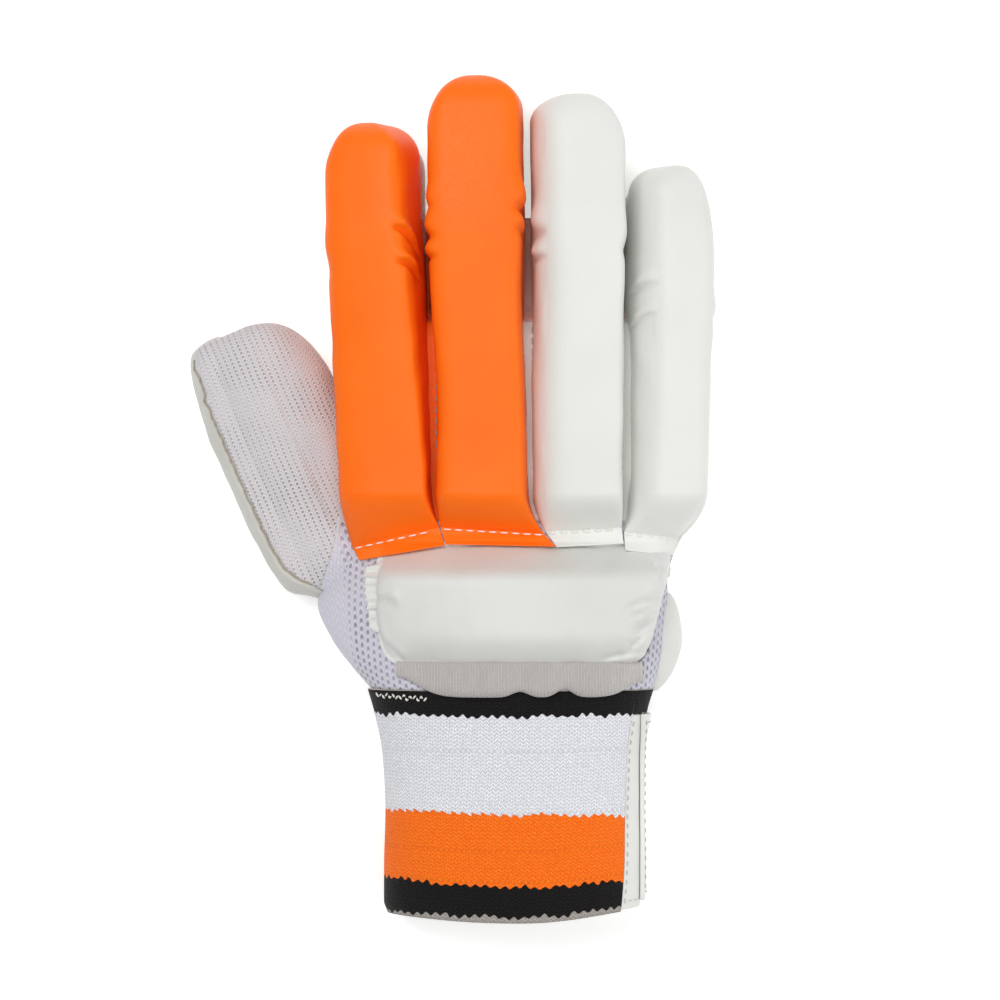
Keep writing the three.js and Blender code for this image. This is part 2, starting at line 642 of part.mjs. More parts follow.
function heelPadding(grow) {
  const middleZ = (HEEL_LOW + HEEL_HIGH) / 2;
  const steps = 8;
  const rings = Array.from({ length: steps + 1 }, (_, i) => {
    const along = i / steps;
    const hand = handSection(mix(HEEL_BOTTOM_Y, HEEL_TOP_Y, along));
    const swell = Math.max(0.12, Math.sin(Math.PI * along ** 0.8) ** 0.6);
    return ovalRing(
      {
        y: hand.y + (i === steps ? grow : 0) - (i === 0 ? grow : 0),
        axis: hand.axis + hand.right - HEEL_REACH,
        left: HEEL_REACH,
        right: HEEL_REACH * (1 + swell),
        top: mix(middleZ, HEEL_HIGH, swell ** 0.5),
        bottom: mix(middleZ, HEEL_LOW, swell ** 0.5),
        upperPower: 2.4,
        lowerPower: 2.4,
        points: 12,
      },
      grow,
    );
  });
  return loft(rings);
}
const heelPad = () => largest(heelPadding(0).subtract(handClearance).subtract(cuff(SEWN_GAP, SEWN_GAP)));

// The pad: sections in planes of constant x, which follow each other from right to left over the arch.
function knucklePad() {
  const middleY = (PAD_TOP_Y + PAD_BOTTOM_Y) / 2;
  const halfY = (PAD_TOP_Y - PAD_BOTTOM_Y) / 2;
  const inner = 7;
  const straight = Array.from({ length: inner }, (_, i) => mix(PAD_RIGHT - PAD_END_CAP, PAD_END_CAP - PAD_LEFT, i / (inner - 1)));
  const cap = roundedEnd(3, 2.6);
  const stations = [
    ...cap.map(({ t, left }) => ({ x: PAD_RIGHT - PAD_END_CAP + PAD_END_CAP * t, left })).reverse(),
    ...straight.map((x) => ({ x, left: 1 })),
    ...cap.map(({ t, left }) => ({ x: PAD_END_CAP - PAD_LEFT - PAD_END_CAP * t, left })),
  ];
  const rings = stations.map(({ x, left }) => {
    const share = x / (x > 0 ? PAD_RIGHT : PAD_LEFT);
    const base = handTop(0, middleY) - PAD_DROP * share ** 2;
    const pleats = PAD_PLEATS.reduce((sum, p) => sum + p.depth * Math.exp(-(((Math.sign(x) * share - p.x) / 0.05) ** 2)), 0);
    const top = base + PAD_HEIGHT * (1 - pleats) * left ** 0.6;
    const ring = ovalRing({
      y: 0,
      axis: 0,
      left: halfY * left ** 0.35,
      right: halfY * left ** 0.35,
      top,
      bottom: base - PAD_SINK,
      waist: mix(base, top, 0.45),
      upperPower: 3.4,
      lowerPower: 3,
      points: PAD_POINTS,
    });
    return ring.map((p) => new THREE.Vector3(x, middleY + p.x, p.z));
  });
  const hems = unionOf(FINGERS.map((_, i) => prism(hemOutline(i, SEWN_GAP), -FAR, FAR)));
  const cut = unionOf([hems, handClearance, heelPadding(SEWN_GAP)]);
  return largest(loft(rings).subtract(cut));
}

// A puffed sheet on the back of the hand over a grid of the plan: columns of x, and rows from its upper edge to its
// scalloped lower edge, with a flat underside sunk below the hand's surface before the hand is cut from it.
function ribPanel() {
  const columns = 22;
  const rows = 6;
  const topY = PAD_BOTTOM_Y - SEWN_GAP;
  const rings = Array.from({ length: columns + 1 }, (_, i) => {
    const share = 1 - i / columns;
    const x = mix(-PANEL_LEFT, PANEL_RIGHT, share);
    const gather = PANEL_GATHERS.reduce((sum, g) => sum + g.notch * Math.exp(-(((share - g.x) / g.width) ** 2)), 0);
    const lowY = mix(PANEL_BOTTOM_Y, topY, Math.min(gather, 0.85));
    const surface = (y) => handTop(x, Math.max(y, WRIST_Y));
    const upper = Array.from({ length: rows + 1 }, (_, j) => {
      const t = j / rows;
      const y = mix(topY, lowY, t);
      const puff = PANEL_PUFF * (1 - gather * 0.8) * (1 - Math.abs(2 * t - 1) ** 2.6) ** 0.5;
      return new THREE.Vector3(x, y, surface(y) + SEWN_GAP + 0.5 + puff);
    });
    const lower = [new THREE.Vector3(x, lowY, surface(lowY) - 3), new THREE.Vector3(x, topY, surface(topY) - 3)];
    return [...upper, ...lower];
  });
  const cut = unionOf([handClearance, cuff(SEWN_GAP, SEWN_GAP), heelPadding(SEWN_GAP)]);
  return largest(loft(rings).subtract(cut));
}

function thumbGuard() {
  const half = THUMB_WIDTH / 2;
  const rings = GUARD_SECTIONS.map((row) => {
    const outer = half * row.reach;
    const inner = half * GUARD_ROOT;
    const top = THUMB_DEPTH * row.top;
    return ovalRing({
      y: row.along * THUMB_LENGTH,
      axis: -(outer + inner) / 2,
      left: (outer - inner) / 2,
      right: (outer - inner) / 2,
      top,
      bottom: -FLOOR_SINK,
      upperPower: 2.6,
      lowerPower: 3,
      points: GUARD_POINTS,
    });
  });
  return largest(loft(inThumbFrame(rings)).intersect(aboveFloor).subtract(handClearance));
}

// The wristband and the closure share the wristband's section. Each covers its own part of the way round.
const cuffMiddleZ = CUFF_LIFT + WRIST_DEPTH * WAIST_SHARE;
const cuffEndY = WRIST_Y - CUFF_LENGTH;
const ringEndY = WRIST_Y - BAND_RING;
function beyondEdges(backX, palmX, fromY, toY, inset = 0) {
  const side = block([backX + inset, toY, -FAR], [FAR, fromY, FAR]);
  const under = block([palmX + inset, toY, -FAR], [FAR, fromY, cuffMiddleZ - inset]);
  return side.add(under);
}
const cuffBand = cuff(0)
  .subtract(cuff(-KNIT_WALL, 2))
  .subtract(beyondEdges(BAND_EDGE_X, BAND_PALM_X, ringEndY, -FAR));
const closureBase = cuff(-SEWN_GAP)
  .subtract(cuff(-SEWN_GAP - STRAP_THICKNESS, 2))
  .intersect(beyondEdges(BAND_EDGE_X, BAND_PALM_X, ringEndY - SEWN_GAP, cuffEndY + BASE_SHORT, SEWN_GAP));
const strapEndY = cuffEndY + BASE_SHORT + STRAP_SHORT;
const closureStrap = cuff(SEWN_GAP + STRAP_THICKNESS)
  .subtract(cuff(SEWN_GAP, 2))
  .intersect(beyondEdges(STRAP_EDGE_X, STRAP_PALM_X, ringEndY - SEWN_GAP, strapEndY));

const glove = new THREE.Group();
function addPiece(name, made, finish) {
  const mesh = new THREE.Mesh(geometryOf(made), new THREE.MeshStandardMaterial(finish));
  mesh.name = name;
  glove.add(mesh);
}

addPiece("palm", palm, COLOURS.palmLeather);
addPiece("thumb_front", thumbFront, COLOURS.palmLeather);
addPiece("hand_back", handBack, COLOURS.airMesh);
addPiece("thumb_back", thumbBack, COLOURS.whiteKnit);
FINGERS.forEach((finger, i) => {
  const orange = finger.name === "index" || finger.name === "middle";
  addPiece(`finger_front_${finger.name}`, fingerFront(finger), COLOURS.palmLeather);
  addPiece(`finger_back_${finger.name}`, fingerBack(finger), COLOURS.whiteKnit);
  addPiece(`finger_roll_${finger.name}`, fingerRoll(finger, i), orange ? COLOURS.orange : COLOURS.whiteLeather);
});
addPiece("knuckle_pad", knucklePad(), COLOURS.whiteLeather);
addPiece("rib_panel", ribPanel(), COLOURS.ribbed);
addPiece("thumb_guard", thumbGuard(), COLOURS.whiteLeather);
addPiece("heel_pad", heelPad(), COLOURS.whiteLeather);
addPiece("cuff_band", cuffBand, COLOURS.wristKnit);
addPiece("closure_base", closureBase, COLOURS.whiteLeather);
addPiece("closure_strap", closureStrap, COLOURS.whiteLeather);

export default glove;
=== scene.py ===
"""A right-hand cricket batting glove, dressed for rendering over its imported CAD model.

Surfaces are worked out in millimetres in the glove's own frame: +Y towards the fingertips, +Z out of the back of the
hand, the thumb towards -X. They become metres when a mesh is made.
"""
import math

import bmesh
import bpy
import numpy as np
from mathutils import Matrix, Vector


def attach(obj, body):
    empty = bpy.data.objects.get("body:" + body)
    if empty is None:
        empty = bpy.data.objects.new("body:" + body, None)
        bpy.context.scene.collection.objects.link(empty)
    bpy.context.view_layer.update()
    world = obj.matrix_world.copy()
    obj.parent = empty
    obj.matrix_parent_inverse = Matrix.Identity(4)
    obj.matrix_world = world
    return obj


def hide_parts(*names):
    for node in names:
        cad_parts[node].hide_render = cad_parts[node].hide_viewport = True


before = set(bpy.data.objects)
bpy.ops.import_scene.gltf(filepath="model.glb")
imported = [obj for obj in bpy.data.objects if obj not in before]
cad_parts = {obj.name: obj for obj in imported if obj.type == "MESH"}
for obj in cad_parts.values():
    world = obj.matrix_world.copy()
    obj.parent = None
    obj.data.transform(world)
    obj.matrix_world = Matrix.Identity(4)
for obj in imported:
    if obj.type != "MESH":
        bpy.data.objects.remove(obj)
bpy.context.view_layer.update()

# ---------------------------------------------------------------- sizes

MM = 0.001
SAME_PLACE = 2e-6
SEWN_GAP = 0.3
ROLL_GAP = 1.7
FLOOR_SINK = 0.9
UNDER_FLOOR = -10
FAR_BELOW = np.array([0, 0, -200.0])
SHELL_WALL = 1.8
SHELL_OVERLAP = 1.2
KNIT_WALL = 3.2
STRAP_THICKNESS = 1.6
HEM_THICKNESS = 1.4

WRIST_Y = -29.5
CROTCH_Y = 94.0
KNUCKLE_Y = 24.5
WRIST_WIDTH = 94.0
WRIST_DEPTH = 40.0
STALL_DEPTH = 21.0
STALL_POWER = 2.6
CROTCH_DEPTH = STALL_DEPTH + 2
ROW_SHIFT = 2.8
SEAM_HEIGHT = 9.0
WAIST_SHARE = 0.42
HAND_ARCH_POWER = 2.25
PALM_POWER = 3.5
ARCH_START_Y = 40.0
ARCH_RISE = 6.8
TIP_COVER = 4.5
SKIRT_HEIGHT = 12.5
ROLL_CAP = 12.0
ROOT_TAPER = 11.5
ROOT_CURVE = 1.8

# length, width and tip_width are a roll's, stall is the stall's width, and bend is how far the bend is from the tip.
# square holds the powers of the roll's upper left and right edges, top_ its height, tilt_ its turn in degrees, drift
# its shift across, and cap_ the lengths over which its sides round in towards the tip.
FINGERS = {
    "index": dict(
        square=(5.0, 8.0), length=134.3, width=27.0, tip_width=27.8, stall=22.5, bend=38.0,
        top_root=41.0, top_tip=41.0, tilt_root=-9.0, tilt_tip=-20.0, drift=-1.6, cap_left=24.0, cap_right=12.0),
    "middle": dict(
        square=(7.0, 10.0), length=150.0, width=30.4, tip_width=31.8, stall=24.5, bend=47.0,
        top_root=44.0, top_tip=42.0, tilt_root=-2.0, tilt_tip=-4.0, drift=-1.4, cap_left=19.0, cap_right=11.5),
    "ring": dict(
        square=(2.7, 10.0), length=144.0, width=27.8, tip_width=30.4, stall=23.5, bend=46.0,
        top_root=44.0, top_tip=42.0, tilt_root=2.0, tilt_tip=5.0, drift=-1.4, cap_left=9.5, cap_right=20.0),
    "little": dict(
        square=(2.9, 3.6), length=120.3, width=24.5, tip_width=25.0, stall=21.0, bend=42.0,
        top_root=40.0, top_tip=39.0, tilt_root=9.0, tilt_tip=20.0, drift=-0.8, cap_left=10.0, cap_right=34.0),
}
ROW_WIDTH = sum(f["width"] for f in FINGERS.values()) + ROLL_GAP * (len(FINGERS) - 1)
edge_x = ROW_SHIFT - ROW_WIDTH / 2
for finger in FINGERS.values():
    finger["root_x"] = edge_x + finger["width"] / 2
    finger["tip_y"] = KNUCKLE_Y + finger["length"]
    edge_x += finger["width"] + ROLL_GAP
ARCH_SLOPE = ARCH_RISE / max(f["tip_y"] - f["bend"] - ARCH_START_Y for f in FINGERS.values())

# Hems in plan: where the stitching crosses each side, and where the lower edge ends: x, y on the left and the right.
HEMS = {
    "index": dict(line=((-54.6, 17.6), (-25.6, 24.3)), edge=((-52.2, 13.2), (-23.6, 18.3)), flare=(-1.8, 0.4)),
    "middle": dict(line=((-25.2, 24.4), (9.2, 22.2)), edge=((-23.3, 18.6), (13.2, 17.9)), flare=(0.4, -2.2)),
    "ring": dict(line=((9.8, 22.8), (35.2, 24.2)), edge=((13.5, 17.7), (35.8, 18.8)), flare=(-1.6, 0.9)),
    "little": dict(line=((35.9, 22.6), (55.6, 20.8)), edge=((36.3, 16.6), (52.8, 14.8)), flare=(2.2, 4.9)),
}

# Creases at the bends. at and spread are shares of the finger's bend distance, bulge and crease are in millimetres, and
# lean is how far the crease moves away from the tip for each millimetre down the wall.
FOLDS = [
    dict(finger="index", side=1, at=0.87, bulge=1.5, spread=0.062, lean=0.5, crease=2.2),
    dict(finger="index", side=1, at=1.17, bulge=1.5, spread=0.06, lean=0.33, crease=1.9),
    dict(finger="index", side=-1, at=1.1, bulge=0.5, spread=0.22, lean=0.1, crease=0.2),
    dict(finger="middle", side=1, at=0.84, bulge=1.3, spread=0.11, lean=0.2, crease=1.3),
    dict(finger="middle", side=1, at=1.03, bulge=0.7, spread=0.07, lean=0.2, crease=0.8),
    dict(finger="middle", side=-1, at=0.86, bulge=0.6, spread=0.08, lean=0.1, crease=0.4),
    dict(finger="middle", side=-1, at=1.06, bulge=1.1, spread=0.09, lean=0.1, crease=0.9),
    dict(finger="middle", side=-1, at=1.235, bulge=1.0, spread=0.06, lean=0.1, crease=0.8),
    dict(finger="ring", side=-1, at=0.9, bulge=1.3, spread=0.11, lean=0.1, crease=1.3),
    dict(finger="ring", side=-1, at=1.13, bulge=1.3, spread=0.06, lean=0.1, crease=1.1),
    dict(finger="ring", side=1, at=1.0, bulge=0.7, spread=0.14, lean=0.2, crease=0.5),
    dict(finger="little", side=-1, at=0.88, bulge=0.9, spread=0.06, lean=0.2, crease=1.1),
    dict(finger="little", side=-1, at=1.12, bulge=0.8, spread=0.05, lean=0.3, crease=1.0),
    dict(finger="little", side=1, at=1.1, bulge=0.7, spread=0.12, lean=0.2, crease=0.4),
]

# How far a roll's side stands out from its plain width, at its top edge and at its base, by distance up the glove.
TRIM_Y = [27, 43, 67, 100, 125, 150]
EDGE_TRIM = {
    ("index", 1): ([3.4, 3.6, 2.7, 1.2, 0.2, 0], [1.2, 1.2, 1.2, 0.8, 0.3, 0]),
    ("middle", -1): ([-0.5, -0.9, -1.7, 0, 0.5, 0], [0.2, 0, -0.7, 0.2, 0.3, 0]),
    ("middle", 1): ([0.2, 0, -0.5, -1.5, -0.6, -0.8], [0.5, 0.4, 0.2, -0.8, -0.4, -0.6]),
    ("ring", -1): ([0.6, 0.8, 0.7, -0.2, 0, 0], [1.7, 1.8, 1.6, 0.2, 0, 0]),
    ("ring", 1): ([0, 0, 0, 0, 0, 0], [0.4, 0.4, 0.4, 0.4, 0, 0]),
    ("little", -1): ([-0.8, -1.4, -1.6, -1.4, -0.5, 0], [2.3, 2.5, 2.5, 2.2, 1.0, 0]),
    ("little", 1): ([0, 0, 0, 0.4, 0, 0], [0, 0, 0, 0, 0, 0]),
}

HAND_ALONG = [0, 0.05, 0.13, 0.22, 0.3, 0.38, 0.5, 0.62, 0.8, 0.94, 1]
HAND_LEFT = [1.03, 1.14, 1.28, 1.36, 1.3, 1.23, 1.15, 1.1, 1.03, 1.0, 0.97]
HAND_RIGHT = [0.98, 1.0, 1.02, 1.02, 1.0, 1.03, 1.06, 1.05, 1.03, 1.0, 0.97]
HAND_DEPTH = [1, 1, 0.99, 0.97, 0.95, 0.93, 0.92, 0.93, 0.97, 1, 0.9]
HAND_LIFT = [1, 0.7, 0.25, 0, 0, 0, 0, 0, 0, 0, 0]
THUMB_SEAM_LOW = -3
THUMB_SEAM_HIGH = 62
SEAM_ALONG = [0.14, 0.2, 0.38, 0.56, 0.72]
SEAM_OUT = [0.2, 0.022, -0.01, -0.01, -0.005]

THUMB_LENGTH = 89.5
THUMB_WIDTH = 40.0
THUMB_DEPTH = 27.0
THUMB_POWER = 2.5
THUMB_ANGLE = math.radians(23.4)
THUMB_ROOT_Y = 9.1
THUMB_INSET = 9.5
THUMB_ALONG = [-0.12, 0, 0.2, 0.45, 0.72, 0.84, 0.92, 0.97, 0.995, 1.006]
THUMB_LEFT = [0.45, 0.8, 1.03, 1.02, 1.01, 1, 0.97, 0.88, 0.65, 0.2]
THUMB_RIGHT = [0.6, 0.85, 0.95, 1, 0.98, 0.87, 0.7, 0.48, 0.24, 0.02]
THUMB_HEIGHT = [0.4, 0.66, 0.86, 1, 1, 0.97, 0.9, 0.76, 0.5, 0.1]

GUARD_INNER = 0.45
GUARD_ALONG = [-0.06, -0.03, -0.01, 0.015, 0.045, 0.1, 0.16, 0.35, 0.64, 0.82, 0.93, 0.99, 1.006, 1.019]
GUARD_REACH = [0.66, 0.78, 0.89, 1.07, 1.18, 1.25, 1.29, 1.34, 1.35, 1.28, 1.18, 1.05, 0.96, 0.84]
GUARD_TOP = [0.5, 0.6, 0.66, 0.72, 0.76, 0.79, 0.8, 0.82, 0.82, 0.82, 0.8, 0.72, 0.6, 0.5]

KNIT_EDGE_ALONG = [-0.12, -0.05, 0.015, 0.078, 0.14, 0.25, 0.62, 0.8, 0.87, 0.93, 0.97, 0.99, 1.006]
KNIT_EDGE_OUT = [6, 9, 14, 18.6, 20.8, 21.8, 22.4, 22.4, 21.2, 21.4, 20.4, 18.6, 15.5]

PAD_TOP_Y = 19.6
PAD_BOTTOM_Y = -21.5
PAD_LEFT = 46.5
PAD_RIGHT = 50.0
PAD_HEIGHT = 15.0
PAD_DROP = 9.0
PAD_END_CAP = 9.0
PAD_FRONT_SLOPE = 14.5
PAD_BACK_SLOPE = 4.4

PANEL_LEFT = 39.6
PANEL_RIGHT = 42.0
PANEL_BOTTOM_Y = -31.8
PANEL_PUFF = 4.6
RIB_WIDTH = 1.05
RIB_DEPTH = 0.36
PANEL_GATHERS = [(0, 0.55, 0.12), (0.5, 0.16, 0.045), (0.68, 0.22, 0.045), (1, 0.4, 0.09)]

HEEL_TOP_Y = 2.5
HEEL_BOTTOM_Y = -31.0
HEEL_REACH = 6.2
HEEL_LOW = 3.0
HEEL_HIGH = 21.0

CUFF_LENGTH = 74.6
CUFF_LIFT = 2.4
CUFF_BOW = 2.2
CUFF_POWER = 2.3
CUFF_ALONG = [0, 0.1, 0.3, 0.55, 0.8, 0.95, 1]
CUFF_LEFT = [1.055, 1.01, 0.95, 0.93, 0.94, 0.94, 0.915]
CUFF_RIGHT = [0.98, 0.935, 0.89, 0.885, 0.895, 0.89, 0.885]
CUFF_DEPTH = [1, 0.98, 0.95, 0.93, 0.93, 0.94, 0.935]
BAND_RING = 8.0
BAND_PALM_X = -8.0
STRAP_PALM_X = -32.0
STRAP_BACK_X = 41.4
STRAP_SHORT = 2.2
BASE_SHORT = 0.4
CUFF_RAISED_RIGHT = 1.6


# ---------------------------------------------------------------- curves and sections

def mix(a, b, t):
    return a + (b - a) * t


def grid(*coordinates):
    """Points from their coordinates, spread to one shape."""
    return np.stack(np.broadcast_arrays(*coordinates), axis=-1)


def as_columns(section):
    """A section whose stations are rows, so that they spread over a grid's columns."""
    return {k: (v[..., None] if np.ndim(v) else v) for k, v in section.items()}


def smoothstep(low, high, x):
    t = np.clip((x - low) / (high - low), 0, 1)
    return t * t * (3 - 2 * t)


def signed_power(value, power):
    return np.sign(value) * np.abs(value) ** power


def read_curve(at, knots, values):
    """A smooth line through a table: cubic pieces whose slopes are the harmonic means of their neighbours' slopes."""
    knots, values = np.asarray(knots, float), np.asarray(values, float)
    at = np.clip(np.asarray(at, float), knots[0], knots[-1])
    step = np.diff(knots)
    rise = np.diff(values) / step
    slope = np.zeros_like(values)
    both = rise[1:] * rise[:-1]
    inner = np.where(both > 0, 2 * both / np.where(both > 0, rise[1:] + rise[:-1], 1), 0)
    slope[1:-1] = inner
    slope[0], slope[-1] = rise[0], rise[-1]
    i = np.clip(np.searchsorted(knots, at, side="right") - 1, 0, len(step) - 1)
    t = (at - knots[i]) / step[i]
    start = values[i] * (1 + 2 * t) * (1 - t) ** 2 + step[i] * slope[i] * t * (1 - t) ** 2
    end = values[i + 1] * t ** 2 * (3 - 2 * t) + step[i] * slope[i + 1] * t ** 2 * (t - 1)
    return start + end


def waves(seed, *coords, size=10.0, count=5):
    """Soft unevenness: the mean of a few sine waves with seeded directions and phases, about size mm long."""
    rng = np.random.default_rng(seed)
    total = 0
    for _ in range(count):
        direction = rng.normal(size=len(coords))
        direction *= 2 * math.pi / (size * rng.uniform(0.7, 1.5) * np.linalg.norm(direction))
        total = total + np.sin(sum(d * c for d, c in zip(direction, coords)) + rng.uniform(0, 2 * math.pi))
    return total / count


def squircle(count, upper, lower):
    """Points spread evenly round a unit superellipse: the angle goes to |cos|^(2/p), |sin|^(2/p), then equal steps.
    The upper half may have one power on the left and another on the right."""
    fine = np.linspace(0, 2 * math.pi, 4001)
    c, s = np.cos(fine), np.sin(fine)
    left, right = upper if isinstance(upper, tuple) else (upper, upper)
    power = np.where(s >= 0, np.where(c >= 0, right, left), lower)
    x, y = signed_power(c, 2 / power), signed_power(s, 2 / power)
    walked = np.concatenate([[0], np.cumsum(np.hypot(np.diff(x), np.diff(y)))])
    even = np.linspace(0, walked[-1], count + 1)[:-1]
    return np.interp(even, walked, x), np.interp(even, walked, y)


def end_share(distance, length, power):
    """What is left of a width at a distance from a rounded end."""
    t = np.clip(1 - distance / length, 0, 1)
    return (1 - t ** power) ** (1 / power)


def soft_ramp(distance, round_over=8.0):
    return (distance + np.hypot(distance, round_over)) / 2


def hand_arch(y):
    """Rise of the whole hand towards the finger bends."""
    return ARCH_SLOPE * (soft_ramp(y - ARCH_START_Y) - soft_ramp(WRIST_Y - ARCH_START_Y))


def finger_arch(finger, y):
    """Rise of one finger: up to its bend, then down to the floor at its tip."""
    up = hand_arch(y)
    down = hand_arch(finger["tip_y"] - finger["bend"]) / finger["bend"] * (finger["tip_y"] - y)
    return np.maximum(0, (up + down - np.hypot(up - down, 2.0)) / 2)


def hand_section(y):
    """The hand's oval section at y."""
    y = np.asarray(y, float)
    along = (y - WRIST_Y) / (CROTCH_Y - WRIST_Y)
    half = mix(WRIST_WIDTH, ROW_WIDTH, along) / 2
    bottom = CUFF_LIFT * read_curve(along, HAND_ALONG, HAND_LIFT) - FLOOR_SINK * np.clip(along * 5, 0, 1)
    depth = mix(WRIST_DEPTH, CROTCH_DEPTH, along) * read_curve(along, HAND_ALONG, HAND_DEPTH)
    return dict(
        axis=ROW_SHIFT * along,
        left=half * read_curve(along, HAND_ALONG, HAND_LEFT),
        right=half * read_curve(along, HAND_ALONG, HAND_RIGHT),
        bottom=bottom, top=bottom + depth, waist=bottom + depth * WAIST_SHARE,
        rise=hand_arch(y), upper=HAND_ARCH_POWER, lower=PALM_POWER, tilt=0.0, pivot=0.0,
    )


def stall_section(finger, y):
    """A finger stall's oval section at y, rounded in towards its tip."""
    y = np.asarray(y, float)
    tip = finger["tip_y"] - TIP_COVER
    left_over = end_share(tip - y, finger["stall"] / 2, 2.3)
    half = finger["stall"] / 2 * left_over
    waist = STALL_DEPTH / 2
    return dict(
        **finger_pose(finger, y), left=half, right=half, waist=waist,
        top=waist * (1 + left_over), bottom=waist - (waist + FLOOR_SINK) * left_over, upper=STALL_POWER, lower=3.0,
    )


def finger_pose(finger, y):
    share = np.clip((y - KNUCKLE_Y) / finger["length"], 0, 1)
    return dict(
        axis=finger["root_x"] + finger["drift"] * share,
        tilt=np.radians(mix(finger["tilt_root"], finger["tilt_tip"], share)),
        pivot=STALL_DEPTH / 2, rise=finger_arch(finger, y),
    )


def thumb_section(along):
    """The thumb's oval section in its own frame."""
    height = read_curve(along, THUMB_ALONG, THUMB_HEIGHT)
    bottom = THUMB_DEPTH * mix(0.35, 0, height ** 0.5) - FLOOR_SINK
    top = THUMB_DEPTH * mix(0.5, 1, height) - FLOOR_SINK
    half = THUMB_WIDTH / 2
    return dict(
        axis=0.0, left=half * read_curve(along, THUMB_ALONG, THUMB_LEFT),
        right=half * read_curve(along, THUMB_ALONG, THUMB_RIGHT),
        bottom=bottom, top=top, waist=mix(bottom, top, WAIST_SHARE), rise=0.0, upper=THUMB_POWER, lower=3.0,
        tilt=0.0, pivot=0.0,
    )


def oval_points(section, y, c, s, grow=0.0):
    """Points of a section from unit superellipse coordinates c, s; it turns by tilt about the height pivot."""
    section = as_columns(section)
    across = c * (np.where(c >= 0, section["right"], section["left"]) + grow)
    height = np.where(s >= 0, section["top"] - section["waist"], section["waist"] - section["bottom"]) + grow
    return place_section(section, y, across, section["waist"] + s * height)


def unit_oval(section, angle):
    """Unit superellipse coordinates at angles round a section: cos and sin to its powers."""
    c, s = np.cos(angle), np.sin(angle)
    power = 2 / np.where(s >= 0, section["upper"], section["lower"])
    return signed_power(c, power), signed_power(s, power)


def even_angles(start, end, count):
    """Angles from start to end in equal steps, a row for each station."""
    return start[:, None] + (end - start)[:, None] * np.linspace(0, 1, count)


def crown(share, power):
    """Height of a superellipse's edge, as a share of its top, at a share of its half width."""
    return (1 - share ** power) ** (1 / power)


def place_section(section, y, across, up):
    tilt, pivot = section["tilt"], section["pivot"]
    x = section["axis"] + across * np.cos(tilt) + (up - pivot) * np.sin(tilt)
    z = pivot + section["rise"] + (up - pivot) * np.cos(tilt) - across * np.sin(tilt)
    return grid(x, y, z)


def depth_inside(section, x, z, grow=0.0):
    """Under 1 inside a section, 1 on it, over 1 outside."""
    dx, dz = x - section["axis"], z - section["pivot"] - section["rise"]
    cos, sin = np.cos(section["tilt"]), np.sin(section["tilt"])
    across, up = dx * cos - dz * sin, dx * sin + dz * cos + section["pivot"] - section["waist"]
    half = np.maximum(np.where(across >= 0, section["right"], section["left"]) + grow, 0.01)
    high = np.maximum(np.where(up >= 0, section["top"] - section["waist"], section["waist"] - section["bottom"]) + grow,
                      0.01)
    power = np.where(up >= 0, section["upper"], section["lower"])
    return (np.abs(across) / half) ** power + (np.abs(up) / high) ** power


def hand_top(x, y):
    """Height of the back of the hand over a point of the plan."""
    section = hand_section(np.clip(y, WRIST_Y, CROTCH_Y))
    dx = x - section["axis"]
    share = np.minimum(1, np.abs(dx) / np.where(dx > 0, section["right"], section["left"]))
    return section["waist"] + section["rise"] + (section["top"] - section["waist"]) * crown(share, HAND_ARCH_POWER)


root_hand = hand_section(THUMB_ROOT_Y)
THUMB_ROOT_X = float(root_hand["axis"] - root_hand["left"]) + THUMB_INSET


def thumb_to_glove(points):
    """Points of the thumb's own frame, turned by its angle and moved to its root."""
    c, s = math.cos(THUMB_ANGLE), math.sin(THUMB_ANGLE)
    x, y, z = points[..., 0], points[..., 1], points[..., 2]
    return grid(THUMB_ROOT_X + c * x - s * y, THUMB_ROOT_Y + s * x + c * y, z)


def glove_to_thumb(x, y):
    """The turn and move of thumb_to_glove, undone."""
    c, s = math.cos(THUMB_ANGLE), math.sin(THUMB_ANGLE)
    dx, dy = x - THUMB_ROOT_X, y - THUMB_ROOT_Y
    return c * dx + s * dy, -s * dx + c * dy


def thumb_top(x, y):
    """Height of the thumb's back over a point of the plan, and under the floor where there is no thumb."""
    across, along = glove_to_thumb(x, y)
    section = thumb_section(np.clip(along / THUMB_LENGTH, THUMB_ALONG[0], 1))
    share = np.abs(across) / np.where(across > 0, section["right"], section["left"])
    over = crown(np.minimum(share, 1), section["upper"])
    return np.where(share < 1, section["waist"] + (section["top"] - section["waist"]) * over, UNDER_FLOOR)


def seam_x(y):
    """Plan line of the seam between the hand and the thumb."""
    along = (np.asarray(y, float) - WRIST_Y) / (CROTCH_Y - WRIST_Y)
    section = hand_section(y)
    return section["axis"] - section["left"] * (1 + read_curve(along, SEAM_ALONG, SEAM_OUT))


def inside_hand(p, margin):
    """Whether points are inside the hand's shell, by a margin."""
    y = np.clip(p[..., 1], WRIST_Y, CROTCH_Y)
    inside = depth_inside(hand_section(y), p[..., 0], p[..., 2], -margin) < 1
    return inside & (p[..., 1] > WRIST_Y) & (p[..., 1] < CROTCH_Y - margin)


def inside_thumb(p, margin):
    """Whether points are inside the thumb's shell, by a margin."""
    across, along = glove_to_thumb(p[..., 0], p[..., 1])
    share = along / THUMB_LENGTH
    inside = depth_inside(thumb_section(np.clip(share, THUMB_ALONG[0], 1)), across, p[..., 2], -margin) < 1
    return inside & (share > THUMB_ALONG[0]) & (share < 1 - margin / THUMB_LENGTH)


